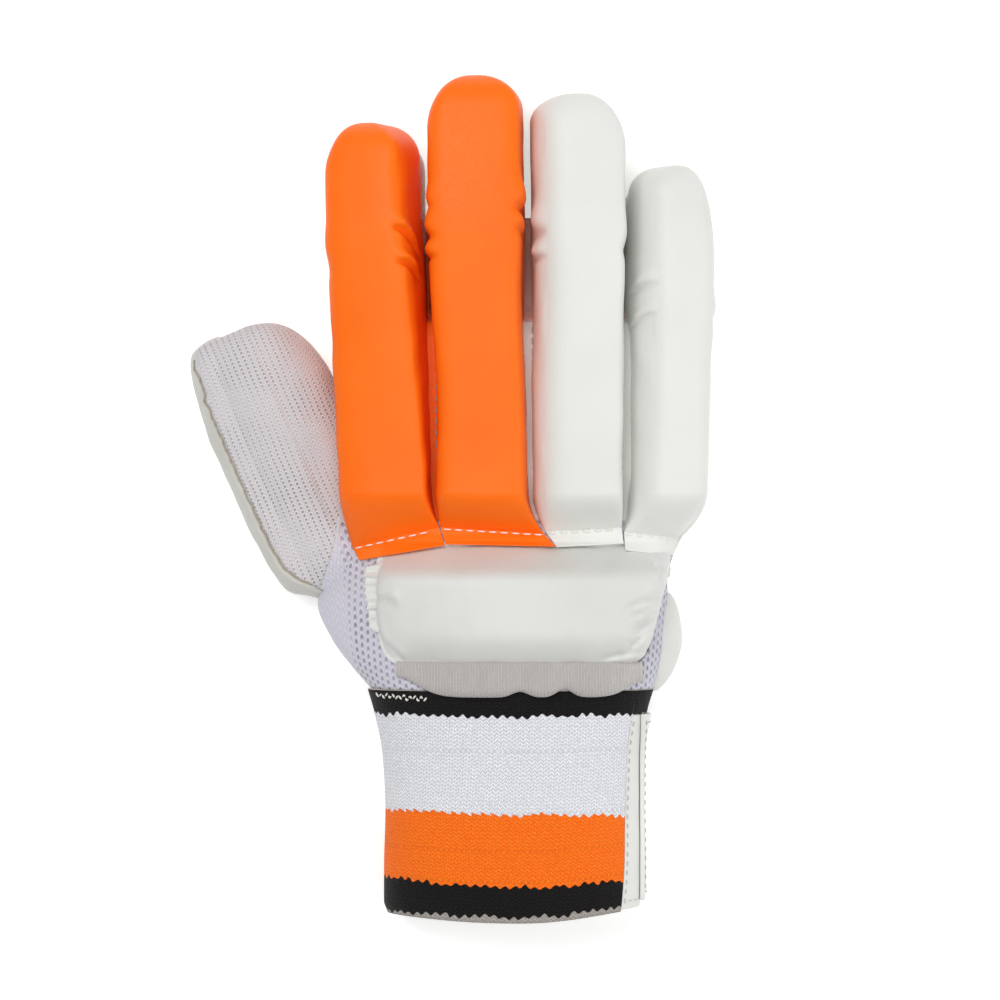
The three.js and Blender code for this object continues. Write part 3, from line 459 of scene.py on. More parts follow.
def inside_stall(finger, p, margin):
    """Whether points are inside a finger's stall, by a margin."""
    tip = finger["tip_y"] - TIP_COVER
    y = np.clip(p[..., 1], 0, tip - 0.1)
    inside = depth_inside(stall_section(finger, y), p[..., 0], p[..., 2], -margin) < 1
    return inside & (p[..., 1] > CROTCH_Y - 3.5) & (p[..., 1] < tip - margin)


# ---------------------------------------------------------------- meshes

def to_length_one(vectors):
    return vectors / np.linalg.norm(vectors, axis=-1, keepdims=True)


def walked(points, axis):
    """Distance walked along one direction of a grid of points."""
    step = np.linalg.norm(np.diff(points, axis=axis), axis=-1)
    start = np.zeros_like(np.take(step, [0], axis=axis))
    return np.concatenate([start, np.cumsum(step, axis=axis)], axis=axis)


def surface(name, points, closed=False, caps=False, core=None, keep=None, uv=None, wall=None):
    """A mesh from a grid of points, rows by columns. closed joins the last column to the first, caps draws each end
    row together to a point. core is what the surface faces away from: a point, or one for each row. keep picks the
    quads that stay. The UV map is the distance walked round and along, in millimetres. wall grows inwards."""
    if caps:
        first, last = points[:1].mean(axis=1, keepdims=True), points[-1:].mean(axis=1, keepdims=True)
        width = points.shape[1]
        points = np.concatenate([np.repeat(first, width, 1), points, np.repeat(last, width, 1)])
    rows, columns = points.shape[:2]
    round_points = np.concatenate([points, points[:, :1]], axis=1) if closed else points
    if uv is None:
        across = walked(round_points, 1)
        across -= across[:, across.shape[1] // 2][:, None]
        uv = grid(across, walked(round_points, 0))
    row, column = np.meshgrid(np.arange(rows - 1), np.arange(round_points.shape[1] - 1), indexing="ij")
    following = (column + 1) % columns
    quads = np.stack([row * columns + column, row * columns + following,
                      (row + 1) * columns + following, (row + 1) * columns + column], axis=-1)
    uv_quads = np.stack([uv[row, column], uv[row, column + 1], uv[row + 1, column + 1], uv[row + 1, column]], axis=-2)
    corner = round_points[:-1, :-1]
    normal = np.cross(round_points[:-1, 1:] - corner, round_points[1:, :-1] - corner)
    middle = core if core is not None else points.mean(axis=1)
    outward = corner - (middle[:-1, None] if np.ndim(middle) == 2 else middle)
    if np.sum(normal * outward) < 0:
        quads, uv_quads = quads[..., ::-1], uv_quads[..., ::-1, :]
    if keep is not None:
        quads, uv_quads = quads[keep], uv_quads[keep]
    return mesh_object(name, points.reshape(-1, 3), quads.reshape(-1, 4), uv_quads.reshape(-1, 2), wall)


def add_object(name, data):
    made = bpy.data.objects.new(name, data)
    bpy.context.scene.collection.objects.link(made)
    return made


def mesh_object(name, points, quads, uv=None, wall=None):
    mesh = bpy.data.meshes.new(name)
    mesh.vertices.add(len(points))
    mesh.vertices.foreach_set("co", (np.asarray(points) * MM).ravel())
    mesh.loops.add(quads.size)
    mesh.loops.foreach_set("vertex_index", quads.ravel().astype(np.int32))
    mesh.polygons.add(len(quads))
    mesh.polygons.foreach_set("loop_start", np.arange(0, quads.size, quads.shape[1], dtype=np.int32))
    mesh.update(calc_edges=True)
    if uv is not None:
        layer = mesh.uv_layers.new(name="surface_mm")
        layer.data.foreach_set("uv", np.ascontiguousarray(uv).ravel())
    mesh.validate()
    work = bmesh.new()
    work.from_mesh(mesh)
    bmesh.ops.remove_doubles(work, verts=work.verts, dist=SAME_PLACE)
    loose = [v for v in work.verts if not v.link_faces]
    bmesh.ops.delete(work, geom=loose, context="VERTS")
    work.to_mesh(mesh)
    work.free()
    mesh.shade_smooth()
    piece = add_object(name, mesh)
    if wall:
        solidify = piece.modifiers.new("wall", "SOLIDIFY")
        solidify.thickness = wall * MM
        solidify.offset = -1
        solidify.use_even_offset = False
    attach(piece, "root")
    return piece


def finish_piece(piece, material, slot, replaces=(), fill=None):
    piece.data.materials.clear()
    piece.data.materials.append(material)
    if replaces:
        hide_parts(*replaces)
    return piece


def tube(name, path, radius, sides=8):
    """A round cord along a path: rings in the planes square to it, drawn together at both ends."""
    path = np.asarray(path, float)
    along = to_length_one(np.gradient(path, axis=0))
    side = np.cross(along, [0, 0, 1.0])
    side /= np.maximum(np.linalg.norm(side, axis=1), 1e-6)[:, None]
    up = np.cross(side, along)
    angle = np.linspace(0, 2 * math.pi, sides, endpoint=False)
    radius = np.broadcast_to(radius, (len(path),))
    ring = side[:, None] * np.cos(angle)[None, :, None] + up[:, None] * np.sin(angle)[None, :, None]
    return surface(name, path[:, None] + ring * radius[:, None, None], closed=True, caps=True)


def stitches(name, runs, dash=2.7, gap=1.1, radius=0.27):
    """Sewing thread in dashes along runs. A run is its points and the normals there. Each dash is a bar with six sides
    and five rings whose ends dip into the surface."""
    sides, rings, sink = 6, 5, 0.48
    t = np.linspace(-1, 1, rings)
    swell = np.sqrt(np.clip(1 - (t * 0.96) ** 4, 0.05, 1))
    angle = np.linspace(0, 2 * math.pi, sides, endpoint=False)
    points, quads, count = [], [], 0
    for path, normals in runs:
        path, normals = np.asarray(path, float), np.asarray(normals, float)
        distance = np.concatenate([[0], np.cumsum(np.linalg.norm(np.diff(path, axis=0), axis=1))])
        starts = np.arange(0, distance[-1] - dash, dash + gap)
        if not len(starts):
            continue
        at = starts[:, None] + dash * (t[None] + 1) / 2
        centre, normal = (grid(*(np.interp(at, distance, column) for column in run.T)) for run in (path, normals))
        normal = to_length_one(normal)
        along = to_length_one(np.gradient(centre, axis=1))
        side = np.cross(along, normal)
        centre = centre + normal * (radius * 0.7 - sink * np.abs(t[None, :, None]) ** 4)
        ring = side[:, :, None] * np.cos(angle)[:, None] + normal[:, :, None] * np.sin(angle)[:, None]
        bar = centre[:, :, None] + ring * (radius * swell)[None, :, None, None]
        points.append(bar.reshape(-1, 3))
        base = count + np.arange(len(starts))[:, None, None] * rings * sides
        row, column = np.meshgrid(np.arange(rings - 1), np.arange(sides), indexing="ij")
        nxt = (column + 1) % sides
        low, high = row * sides, (row + 1) * sides
        body = np.stack([low + column, low + nxt, high + nxt, high + column], -1).reshape(-1, 4)
        cap = np.array([[5, 4, 1, 0], [4, 3, 2, 1]])
        both = np.concatenate([body[:, ::-1], cap[:, ::-1], cap + (rings - 1) * sides])
        quads.append((base + both[None]).reshape(-1, 4))
        count += len(starts) * rings * sides
    return mesh_object(name, np.concatenate(points), np.concatenate(quads))


def plan_crease(x, y, line, depth, width):
    """A crease over the plan from one point to another: a valley of a given depth and width beside a low ridge."""
    (ax, ay), (bx, by) = line
    length = math.hypot(bx - ax, by - ay)
    ux, uy = (bx - ax) / length, (by - ay) / length
    t = ((x - ax) * ux + (y - ay) * uy) / length
    off = -(x - ax) * uy + (y - ay) * ux
    fade = smoothstep(-0.25, 0.15, t) * (1 - smoothstep(0.75, 1.25, t))
    valley = np.exp(-(off / width) ** 2)
    ridge = np.exp(-((off - width * 2.1) / (width * 1.5)) ** 2)
    return depth * fade * (0.55 * ridge - valley)


# ---------------------------------------------------------------- materials

def linear(red, green, blue):
    """Screen colour, 0 to 255, as linear light."""
    values = [v / 255 for v in (red, green, blue)]
    return tuple(v / 12.92 if v <= 0.04045 else ((v + 0.055) / 1.055) ** 2.4 for v in values) + (1.0,)


class Value:
    """A value inside a material: arithmetic with it makes Math nodes."""

    def __init__(self, finish, socket):
        self.finish, self.socket = finish, socket

    def __add__(self, other):
        return self.finish.math("ADD", self, other)

    def __sub__(self, other):
        return self.finish.math("SUBTRACT", self, other)

    def __rsub__(self, other):
        return self.finish.math("SUBTRACT", other, self)

    def __mul__(self, other):
        return self.finish.math("MULTIPLY", self, other)

    def __truediv__(self, other):
        return self.finish.math("DIVIDE", self, other)

    def __abs__(self):
        return self.finish.math("ABSOLUTE", self)


# The Mix node's colour sockets go by number, because their names stand for its other kinds too.
MIX_FIRST, MIX_SECOND, MIX_RESULT = 6, 7, 2


class Finish:
    """A material under construction, with short names for the nodes that it needs."""

    def __init__(self, name, roughness, sheen=0.0, specular=0.5):
        self.material = bpy.data.materials.new(name)
        self.material.use_nodes = True
        self.tree = self.material.node_tree
        self.tree.nodes.clear()
        output = self.tree.nodes.new("ShaderNodeOutputMaterial")
        self.shader = self.node("BsdfPrincipled", Roughness=roughness, Sheen_Weight=sheen, Sheen_Roughness=0.5,
                                Specular_IOR_Level=specular)
        self.tree.links.new(self.shader.outputs[0], output.inputs[0])
        where = self.node("TexCoord").outputs
        self.place, self.flat = Value(self, where["Object"]), Value(self, where["UV"])

    def node(self, kind, **inputs):
        """A node, with its inputs by name; _ stands for a space."""
        node = self.tree.nodes.new("ShaderNode" + kind)
        for name, value in inputs.items():
            self.put(node.inputs[name.replace("_", " ")], value)
        return node

    def put(self, socket, value):
        if isinstance(value, Value):
            self.tree.links.new(value.socket, socket)
        else:
            socket.default_value = value

    def math(self, operation, *values):
        node = self.node("Math")
        node.operation = operation
        for socket, value in zip(node.inputs, values):
            self.put(socket, value)
        return Value(self, node.outputs[0])

    def wave(self, value, period):
        return self.math("SINE", value * (2 * math.pi / period))

    def split(self, vector):
        return [Value(self, part) for part in self.node("SeparateXYZ", Vector=vector).outputs]

    def noise(self, scale, detail=2.0):
        return Value(self, self.node("TexNoise", Vector=self.place, Scale=scale, Detail=detail).outputs["Fac"])

    def cells(self, scale, feature="F1"):
        node = self.node("TexVoronoi", Vector=self.place, Scale=scale)
        node.feature = feature
        return Value(self, node.outputs["Distance"])

    def blend(self, factor, first, second):
        node = self.node("Mix")
        node.data_type = "RGBA"
        for socket, value in (("Factor", factor), (MIX_FIRST, first), (MIX_SECOND, second)):
            self.put(node.inputs[socket], value)
        return Value(self, node.outputs[MIX_RESULT])

    def step(self, value, low, high):
        node = self.node("MapRange", Value=value, From_Min=low, From_Max=high)
        node.interpolation_type = "SMOOTHSTEP"
        return Value(self, node.outputs[0])

    def range(self, value, low, high, to_low, to_high):
        node = self.node("MapRange", Value=value, From_Min=low, From_Max=high, To_Min=to_low, To_Max=to_high)
        return Value(self, node.outputs[0])

    def stray(self, scale, low, high):
        """Soft noise that strays from low to high."""
        return self.range(self.noise(scale), 0.3, 0.7, low, high)

    def bump(self, *layers):
        """layers are (height, distance in metres) pairs, one over the other."""
        normal = None
        for height, distance in layers:
            node = self.node("Bump", Strength=1.0, Distance=distance, Height=height)
            if normal is not None:
                self.put(node.inputs["Normal"], normal)
            normal = Value(self, node.outputs[0])
        self.put(self.shader.inputs["Normal"], normal)

    def colour(self, value):
        self.put(self.shader.inputs["Base Color"], value)

    def rough(self, value):
        self.put(self.shader.inputs["Roughness"], value)


def cover_leather(name, light, deep, roughness=0.42):
    """Smooth coated synthetic leather: a faint pebble, slow changes of tone, and gloss that varies with the grain."""
    f = Finish(name, roughness, specular=0.2)
    f.colour(f.blend(f.step(f.noise(28, 3), 0.3, 0.75), light, deep))
    grain = f.noise(900, 3)
    f.rough(f.range(grain, 0.3, 0.7, roughness - 0.05, roughness + 0.1))
    f.bump((f.noise(90), 0.0002), (f.cells(1900, "SMOOTH_F1"), 0.00004), (grain, 0.00004))
    return f.material


def palm_leather(name, light, deep):
    """Napped palm leather: irregular fine cells and soft flex marks."""
    f = Finish(name, 0.62, sheen=0.15)
    f.colour(f.blend(f.step(f.noise(60, 4), 0.3, 0.7), light, deep))
    f.rough(f.stray(400, 0.55, 0.75))
    f.bump((f.cells(900), 0.00012), (f.noise(160, 3), 0.0006))
    return f.material


def eyelet_knit(name, light, deep, hole_shade, across, along, hole, patchy, loops=0.77, plain=None):
    """Knit with straight rows of eyelets: staggered ovals of painted shade in the holes, with slanting strands that
    lean the other way on each side of a row, over fine loops. Strands and loops are lighter where they stand up and
    darker between, which is painted shade. patchy is the range of the eyelets' painted shade, from the least to the
    most.
    plain = (height at Y 0, lean, softness) in metres leaves the eyelets out left of a line."""
    f = Finish(name, 0.92, sheen=0.2, specular=0.2)
    u, v, _ = f.split(f.flat)
    row = u / across + f.stray(60, -0.18, 0.18) / across
    index = f.math("FLOOR", row)
    off_middle = row - index - 0.5
    place = v / along + index * 0.5
    off_row = off_middle * (across / hole[0])
    off_place = (f.math("FRACT", place) - 0.5) * (along / hole[1])
    hollow = 1.0 - f.step(f.math("SQRT", off_row * off_row + off_place * off_place), 0.35, 1.2)
    loop = (f.wave(u, loops) * f.wave(v, loops * 0.82) + 1.0) * 0.5
    yarn = f.noise(1500)
    strength = f.range(f.noise(42), 0.36, 0.64, *patchy)
    if plain:
        x, y, _ = f.split(f.place)
        strength = strength * f.step(x + y * plain[1], plain[0] - plain[2], plain[0] + plain[2])
    dark = hollow * strength
    strand = f.wave(place + abs(off_middle) * 1.9, 1)
    loop = loop * 0.35 + (strand + 1.0) * 0.33
    # Painted shade: the eyelets take the hole shade, and the loops and strands darken where they are low.
    f.colour(f.blend(dark, f.blend(loop * 0.75 + yarn * 0.25, deep, light), hole_shade))
    f.bump((loop * 0.35 + yarn * 0.2 - dark, 0.0004))
    return f.material


def stripe_knit(name, white, orange, black, lining, edges):
    """Wristband knit: columns of V-shaped loops whose legs are the ridges of a sine climbing away from each column's
    middle. Each yarn is a lit and a shaded tone mixed by the loops' height, which is painted highlight on the legs and
    painted shade between them. Stripe borders follow the stitches in small teeth, and each is (place, slope, bend)
    across the band."""
    f = Finish(name, 0.9, sheen=0.06, specular=0.2)
    u, v, _ = f.split(f.flat)
    wale, course, tooth_width, half_band = 1.9, 1.2, 3.3, 45.0
    side = abs(f.math("FRACT", u / wale + f.stray(260, -0.13, 0.13)) - 0.5) * 2.0
    climb = v / course + side * 0.8 + f.stray(210, -0.2, 0.2)
    legs = f.wave(side, 2) * 0.6 + 0.4
    height = f.wave(f.math("FRACT", climb), 2) * legs
    yarn = f.noise(1100)
    painted_loop_shading = f.math("MINIMUM", height * f.range(yarn, 0.35, 0.65, 0.7, 1.35), 1.0)
    across = f.math("MINIMUM", f.math("MAXIMUM", u, -half_band), half_band)
    reach = f.wave(u, tooth_width) * 0.45 + v + f.stray(190, -0.6, 0.6)
    cloth = None
    for (high, low), (place, slope, bend) in zip((black, white, orange, black, lining), edges):
        # Each stripe's tone mixes its lit and shaded yarn tones by the painted loop shading.
        tone = f.blend(painted_loop_shading, low, high)
        bent = across * (across * bend + slope)
        cloth = f.blend(f.step(reach - bent, place - 0.12, place + 0.12), cloth, tone) if cloth else tone
    f.colour(cloth)
    f.bump((f.noise(120), 0.0003), (height, 0.0002), (yarn, 0.00008))
    return f.material


def ribbed_knit(name, light, deep):
    """Elastic knit whose ribs are modelled, so that only the fibre noise is left to the finish."""
    f = Finish(name, 0.92, sheen=0.3)
    yarn = f.noise(1600, 3)
    f.colour(f.blend(yarn, deep, light))
    f.bump((yarn, 0.00015), (f.noise(120), 0.0005))
    return f.material


def plain_knit(name, light, deep, wale=0.8):
    """Fine plain knit: small loops in columns with fibre noise, darker between the loops, which is painted shade."""
    f = Finish(name, 0.92, sheen=0.3)
    u, v, _ = f.split(f.flat)
    course = 0.6
    height = abs(f.wave(u, 2 * wale)) * abs(f.wave(v, 2 * course))
    yarn = f.noise(1600, 3)
    # Painted shade: the deep tone falls between the loops.
    f.colour(f.blend((height + yarn) * 0.5, deep, light))
    f.bump((height, 0.0002), (yarn, 0.00015), (f.noise(120), 0.0005))
    return f.material


def thread_finish(name, tone):
    """Sewing thread: a fine twist along it."""
    f = Finish(name, 0.6, sheen=0.3)
    twist = f.noise(2500)
    f.colour(f.blend(twist, tone, tuple(c * 0.85 for c in tone[:3]) + (1.0,)))
    f.bump((twist, 0.00008))
    return f.material


ORANGE = cover_leather("orange_cover", (1.0, 0.172, 0.006, 1), (1.0, 0.155, 0.005, 1))
WHITE = cover_leather("white_cover", linear(228, 229, 225), linear(222, 223, 218))
# The knuckle pad's and the thumb bolster's covers are darker copies of the white cover: painted shade.
PAD_WHITE_PAINTED_SHADE = cover_leather("pad_cover_painted_shade", linear(218, 219, 215), linear(212, 213, 208))
GUARD_WHITE_PAINTED_SHADE = cover_leather("guard_cover_painted_shade", linear(206, 205, 199), linear(199, 198, 191), 0.5)
PALM = palm_leather("palm_leather", linear(232, 230, 222), linear(222, 219, 209))
# Pale leather tinted pink: painted reflection of the orange light that bounces from the orange rolls.
WEB_PAINTED_BOUNCE = palm_leather("web_leather_painted_bounce", linear(244, 200, 188), linear(236, 184, 172))
WEB_RED = palm_leather("web_leather_orange", (0.8, 0.13, 0.01, 1), (0.66, 0.08, 0.006, 1))
# The third colour of each eyelet knit is the painted shade in its eyelets.
THUMB_KNIT = eyelet_knit("thumb_knit", linear(228, 225, 227), linear(186, 182, 185), linear(158, 154, 157),
                         across=2.15, along=1.4, hole=(0.36, 0.44), patchy=(0.05, 0.9))
AIR_MESH = eyelet_knit("air_mesh", linear(222, 220, 230), linear(190, 188, 201), linear(142, 137, 155),
                       across=2.2, along=2.8, hole=(0.62, 0.98), loops=0.6, patchy=(0.35, 0.95),
                       plain=(-0.0562, 0.128, 0.0016))
# A plain knit's deep tone is painted shade between its loops.
FINGER_KNIT = plain_knit("finger_knit", linear(234, 233, 236), linear(214, 212, 218))
# The ribbed panel's tones are darkened: painted shade from the knuckle pad above it.
RIBBED_PAINTED_SHADE = ribbed_knit("ribbed_elastic", linear(203, 199, 196), linear(172, 167, 163))
TAN = plain_knit("frayed_backing", linear(205, 192, 172), linear(178, 163, 142), wale=0.4)
LINING = plain_knit("cuff_lining", linear(206, 200, 192), linear(182, 175, 166), wale=0.6)
THREAD = thread_finish("thread_white", linear(240, 238, 232))
THREAD_GREY = thread_finish("thread_grey", linear(190, 188, 182))
# Each yarn's pair is its lit tone and its painted shade, for the tops of the loops and the hollows between them.
WRIST_KNIT = stripe_knit(
    "wrist_knit",
    white=(linear(243, 244, 248), linear(198, 199, 205)),
    orange=((1.0, 0.225, 0.014, 1.0), (0.9, 0.105, 0.002, 1.0)),
    black=(linear(27, 24, 24), linear(5, 4, 4)),
    lining=(linear(176, 170, 164), linear(140, 134, 128)),
    edges=((0, 0, 0), (8.0, 0, 0), (39.6, -0.03, 0.0009), (63.1, -0.018, 0), (72.6, 0, 0.0005)),
)


# ---------------------------------------------------------------- hand, thumb and stalls

def seam_angle(section, height):
    """Angle below a section's widest line at which it passes a height."""
    drop = np.clip((section["waist"] + section["rise"] - height) / (section["waist"] - section["bottom"]), 0, 0.98)
    return np.arcsin(drop ** (section["lower"] / 2))


def arc(section, y, start, end, columns):
    """Part of a section from one angle to another, in equal steps of the angle."""
    return oval_points(section, y[:, None], *unit_oval(section, even_angles(start, end, columns)))


def clear_of_floor(points):
    """Points lifted to the floor where they would be below it."""
    points[..., 2] = np.maximum(points[..., 2], 0.0)
    return points


def end_row(points):
    """The middle of a grid's last row, as a row that draws it together."""
    return points[-1:].mean(axis=1, keepdims=True).repeat(points.shape[1], 1)


def straight_up(x):
    """A normal straight up for each place of a run."""
    return np.tile([0, 0, 1.0], (len(x), 1))


def quad_centres(points):
    """The middle of each quad of a grid."""
    return (points[:-1, :-1] + points[1:, :-1] + points[:-1, 1:] + points[1:, 1:]) / 4


def hand_rows():
    """Stations along the hand, with a rounded lip where it ends between the fingers, and how much it shrinks there."""
    rows, round_over = 120, 3
    lip = np.linspace(0, math.pi / 2, 7)[1:]
    start = CROTCH_Y - round_over
    y = np.concatenate([np.linspace(WRIST_Y, start, rows), start + round_over * np.sin(lip)])
    return y, np.concatenate([np.zeros(rows), round_over * (1 - np.cos(lip))])


def hand_skin(name, upper):
    y, shrink = hand_rows()
    section = hand_section(y)
    section["top"] = section["top"] - shrink
    section["bottom"] = section["bottom"] + shrink
    height = SEAM_HEIGHT + section["rise"]
    below = seam_angle(section, height)
    start, end = (-below, math.pi + below) if upper else (-below, below - math.pi)
    points = clear_of_floor(arc(section, y, start, end, 170))
    # The front wall between the fingers closes in to the middle height.
    middle = points[-1:].copy()
    middle[..., 2] = float(height[-1])
    points = np.concatenate([points, mix(points[-1:], middle, 0.5), middle])
    centre = quad_centres(points)
    x_there, y_there = centre[..., 0], centre[..., 1]
    keep = ~inside_thumb(centre, SHELL_OVERLAP)
    keep &= ~((x_there < seam_x(y_there) - 0.8) & (y_there > THUMB_SEAM_LOW) & (y_there < THUMB_SEAM_HIGH))
    for finger in FINGERS.values():
        keep &= ~inside_stall(finger, centre, 1.0)
    core = grid(section["axis"], y, height)
    core = np.concatenate([core, core[-1:], core[-1:]])
    return surface(name, points, core=core, keep=keep, wall=SHELL_WALL)


def thumb_skin(name, upper, mesh_side):
    """Half of the thumb, above or below its widest line, on one side of its seam to the hand."""
    tip_start = 0.78
    tip = np.sin(np.linspace(0, math.pi / 2, 40)[1:])
    along = np.concatenate([np.linspace(-0.11, tip_start, 110), tip_start + tip * (THUMB_ALONG[-1] - tip_start)])
    section = thumb_section(along)
    if upper:
        local = thumb_knit_points(along, section)
    else:
        below = seam_angle(section, SEAM_HEIGHT)
        local = clear_of_floor(arc(section, along * THUMB_LENGTH, -below, below - math.pi, 150))
    pole = end_row(local)
    pole[..., 0], pole[..., 2] = 0, SEAM_HEIGHT
    if upper:
        # The knit's left half ends in a wall that drops behind the bolster's tip to the front's rim.
        pole[..., 0] = np.minimum(local[-1:, :, 0], 0)
        pole[..., 2] = SEAM_HEIGHT + np.maximum(pole[..., 0] / 4, -1)
    points = thumb_to_glove(np.concatenate([local, pole]))
    if upper:
        points[..., 2] += thumb_creases(points)
    centre = quad_centres(points)
    x, y = centre[..., 0], centre[..., 1]
    right_of_seam = ((x > seam_x(np.clip(y, -12, CROTCH_Y))) & (y < THUMB_SEAM_HIGH)) | (y < -6)
    keep = ~inside_hand(centre, SHELL_OVERLAP) & (right_of_seam if mesh_side else ~right_of_seam)
    core = grid(0.0, along * THUMB_LENGTH, 11.0)
    core = thumb_to_glove(np.concatenate([core, core[-1:]]))
    return surface(name, points, core=core, keep=keep, wall=SHELL_WALL)


def guard_size(along):
    """The bolster's inner and outer reach from the thumb's line, and the height of its top."""
    half = THUMB_WIDTH / 2
    outer = half * read_curve(along, GUARD_ALONG, GUARD_REACH)
    return half * GUARD_INNER, outer, THUMB_DEPTH * read_curve(along, GUARD_ALONG, GUARD_TOP)


def guard_roof(along, out):
    """Height of the bolster's top at a distance out from the thumb's line."""
    inner, outer, top = guard_size(along)
    waist = mix(-FLOOR_SINK, top, WAIST_SHARE)
    share = np.clip(np.abs(out - (inner + outer) / 2) / ((outer - inner) / 2), 0, 0.98)
    return waist + (top - waist) * crown(share, THUMB_POWER)


def knit_edge(along):
    """Distance of the wavy seam between the knit and the bolster from the thumb's line."""
    return read_curve(along, KNIT_EDGE_ALONG, KNIT_EDGE_OUT) + 0.35 * waves(63, along * THUMB_LENGTH, size=6)


def thumb_knit_points(along, section):
    """The knit over the thumb: on the right the section's own oval from its seam up to the crown, on the left a line
    from the crown out to the bolster's seam, at the higher of the thumb's and the bolster's backs."""
    columns = 90
    below = seam_angle(section, SEAM_HEIGHT)
    right = arc(section, along * THUMB_LENGTH, -below, np.full_like(along, math.pi / 2), columns)
    along, wide = along[:, None], as_columns(section)
    t = np.linspace(0, 1, columns)[None, 1:]
    out = np.maximum(knit_edge(along), 0.3) * t
    own = wide["waist"] + (wide["top"] - wide["waist"]) * crown(np.clip(out / wide["left"], 0, 1), THUMB_POWER)
    inner, outer, crest = guard_size(along)
    middle = (inner + outer) / 2
    bridge = mix(wide["top"], crest, np.clip(out / middle, 0, 1)) - 0.4
    over = guard_roof(along, out) + 0.35
    over = np.minimum(np.where(out < middle, np.maximum(over, bridge), over), wide["top"])
    soft = (own + over + np.sqrt((own - over) ** 2 + 1.5)) / 2
    left = grid(-out, along * THUMB_LENGTH, soft - 0.5 * smoothstep(0.96, 1, t))
    return np.concatenate([right, left], axis=1)


def thumb_creases(p):
    """The knit's soft hollows: low waves, and a shallow dent across it above the seam."""
    x, y = p[..., 0], p[..., 1]
    soft = 0.35 * waves(11, x, y, size=22) + 0.12 * waves(12, x, y, size=7)
    return soft + plan_crease(x, y, ((-78, 52), (-62, 44)), 0.7, 4.5)


def stall_skin(name, finger, upper):
    tip = finger["tip_y"] - TIP_COVER
    cap = finger["stall"] / 2
    round_end = tip - cap + cap * np.sin(np.linspace(0, 1.55, 16)[1:])
    y = np.concatenate([np.linspace(CROTCH_Y - 5, tip - cap, 60), round_end])
    section = stall_section(finger, y)
    start = np.zeros_like(y)
    points = arc(section, y, start, start + (math.pi if upper else -math.pi), 56)
    points = clear_of_floor(np.concatenate([points, end_row(points)]))
    if upper:
        points[..., 2] += 0.12 * waves(21, points[..., 0], points[..., 1], size=6)
    core = grid(section["axis"], y, section["rise"] + STALL_DEPTH / 2)
    return surface(name, points, core=np.concatenate([core, core[-1:]]), wall=SHELL_WALL)


finish_piece(hand_skin("hand_back_mesh", True), AIR_MESH, "air_mesh", ["hand_back"])
finish_piece(hand_skin("palm_skin", False), PALM, "palm_leather", ["palm"])
finish_piece(thumb_skin("thumb_back_knit", True, False), THUMB_KNIT, "thumb_knit", ["thumb_back"])
finish_piece(thumb_skin("thumb_web_mesh", True, True), AIR_MESH, "air_mesh")
finish_piece(thumb_skin("thumb_front_skin", False, False), PALM, "palm_leather", ["thumb_front"])
finish_piece(thumb_skin("thumb_web_palm", False, True), PALM, "palm_leather")
for name, finger in FINGERS.items():
    finish_piece(stall_skin(f"stall_back_{name}", finger, True), FINGER_KNIT, "finger_knit", [f"finger_back_{name}"])
    finish_piece(stall_skin(f"stall_front_{name}", finger, False), PALM, "palm_leather", [f"finger_front_{name}"])


# ---------------------------------------------------------------- finger rolls

def hem_point(hem, share, station):
    """Plan place on a hem: share runs from its left to its right side; station is distance above the sewn line, or
    below it the share, negative, of the way to the lower edge."""
    (lx, ly), (rx, ry) = hem["line"]
    (ex, ey), (fx, fy) = hem["edge"]
    down = np.clip(-station, 0, 1)
    up = np.maximum(station, 0)
    flare = mix(hem["flare"][0], hem["flare"][1], share) * np.minimum(up / ROOT_TAPER, 1)
    x = mix(mix(lx, rx, share), mix(ex, fx, share), down) + flare
    y = mix(mix(ly, ry, share), mix(ey, fy, share), down) + up
    return x, y


def stall_roof(finger, y, across):
    """Height of a stall's back above its underside at a place across it, in the finger's turned frame."""
    section = stall_section(finger, np.minimum(y, finger["tip_y"] - TIP_COVER - 0.05))
    half = section["left"] + SEWN_GAP
    share = np.clip(np.abs(across) / half, 0, 1)
    roof = section["waist"] + (section["top"] - section["waist"] + SEWN_GAP) * crown(share, STALL_POWER)
    return np.where((share < 1) & (y < finger["tip_y"] - TIP_COVER), roof, UNDER_FLOOR)


def pad_front(x, y):
    """How far the pad's front slope lifts a hem: it climbs from the pad's upper edge, and less near the pad's ends."""
    within = smoothstep(-PAD_LEFT + 1, -PAD_LEFT + 6, x) * (1 - smoothstep(PAD_RIGHT - 3, PAD_RIGHT + 2, x))
    rise = mix(0.4, 1.0, smoothstep(-46, -12, x) * (1 - 0.75 * smoothstep(25, 48, x)))
    climb = 0.9 + 1.1 * np.clip(PAD_TOP_Y - y, 0, 4) ** 1.1
    return within * rise * climb * smoothstep(PAD_TOP_Y + 2.5, PAD_TOP_Y, y)


def fold_push(name, finger, distance, down, side):
    """How far the creases at the bend push a side wall out: a round swelling with a narrow valley on its root side."""
    push = 0
    for fold in FOLDS:
        if fold["finger"] == name and fold["side"] == side:
            width = fold["spread"] * finger["bend"]
            t = (distance - fold["at"] * finger["bend"] - fold["lean"] * down) / width
            swell = fold["bulge"] * np.exp(-(t / np.where(t > 0, 0.55, 1.0)) ** 2)
            valley = fold["crease"] * np.exp(-((t - 0.98) / 0.36) ** 2)
            push = push + (swell - valley) * (1 - smoothstep(9, 20, down))
    return push


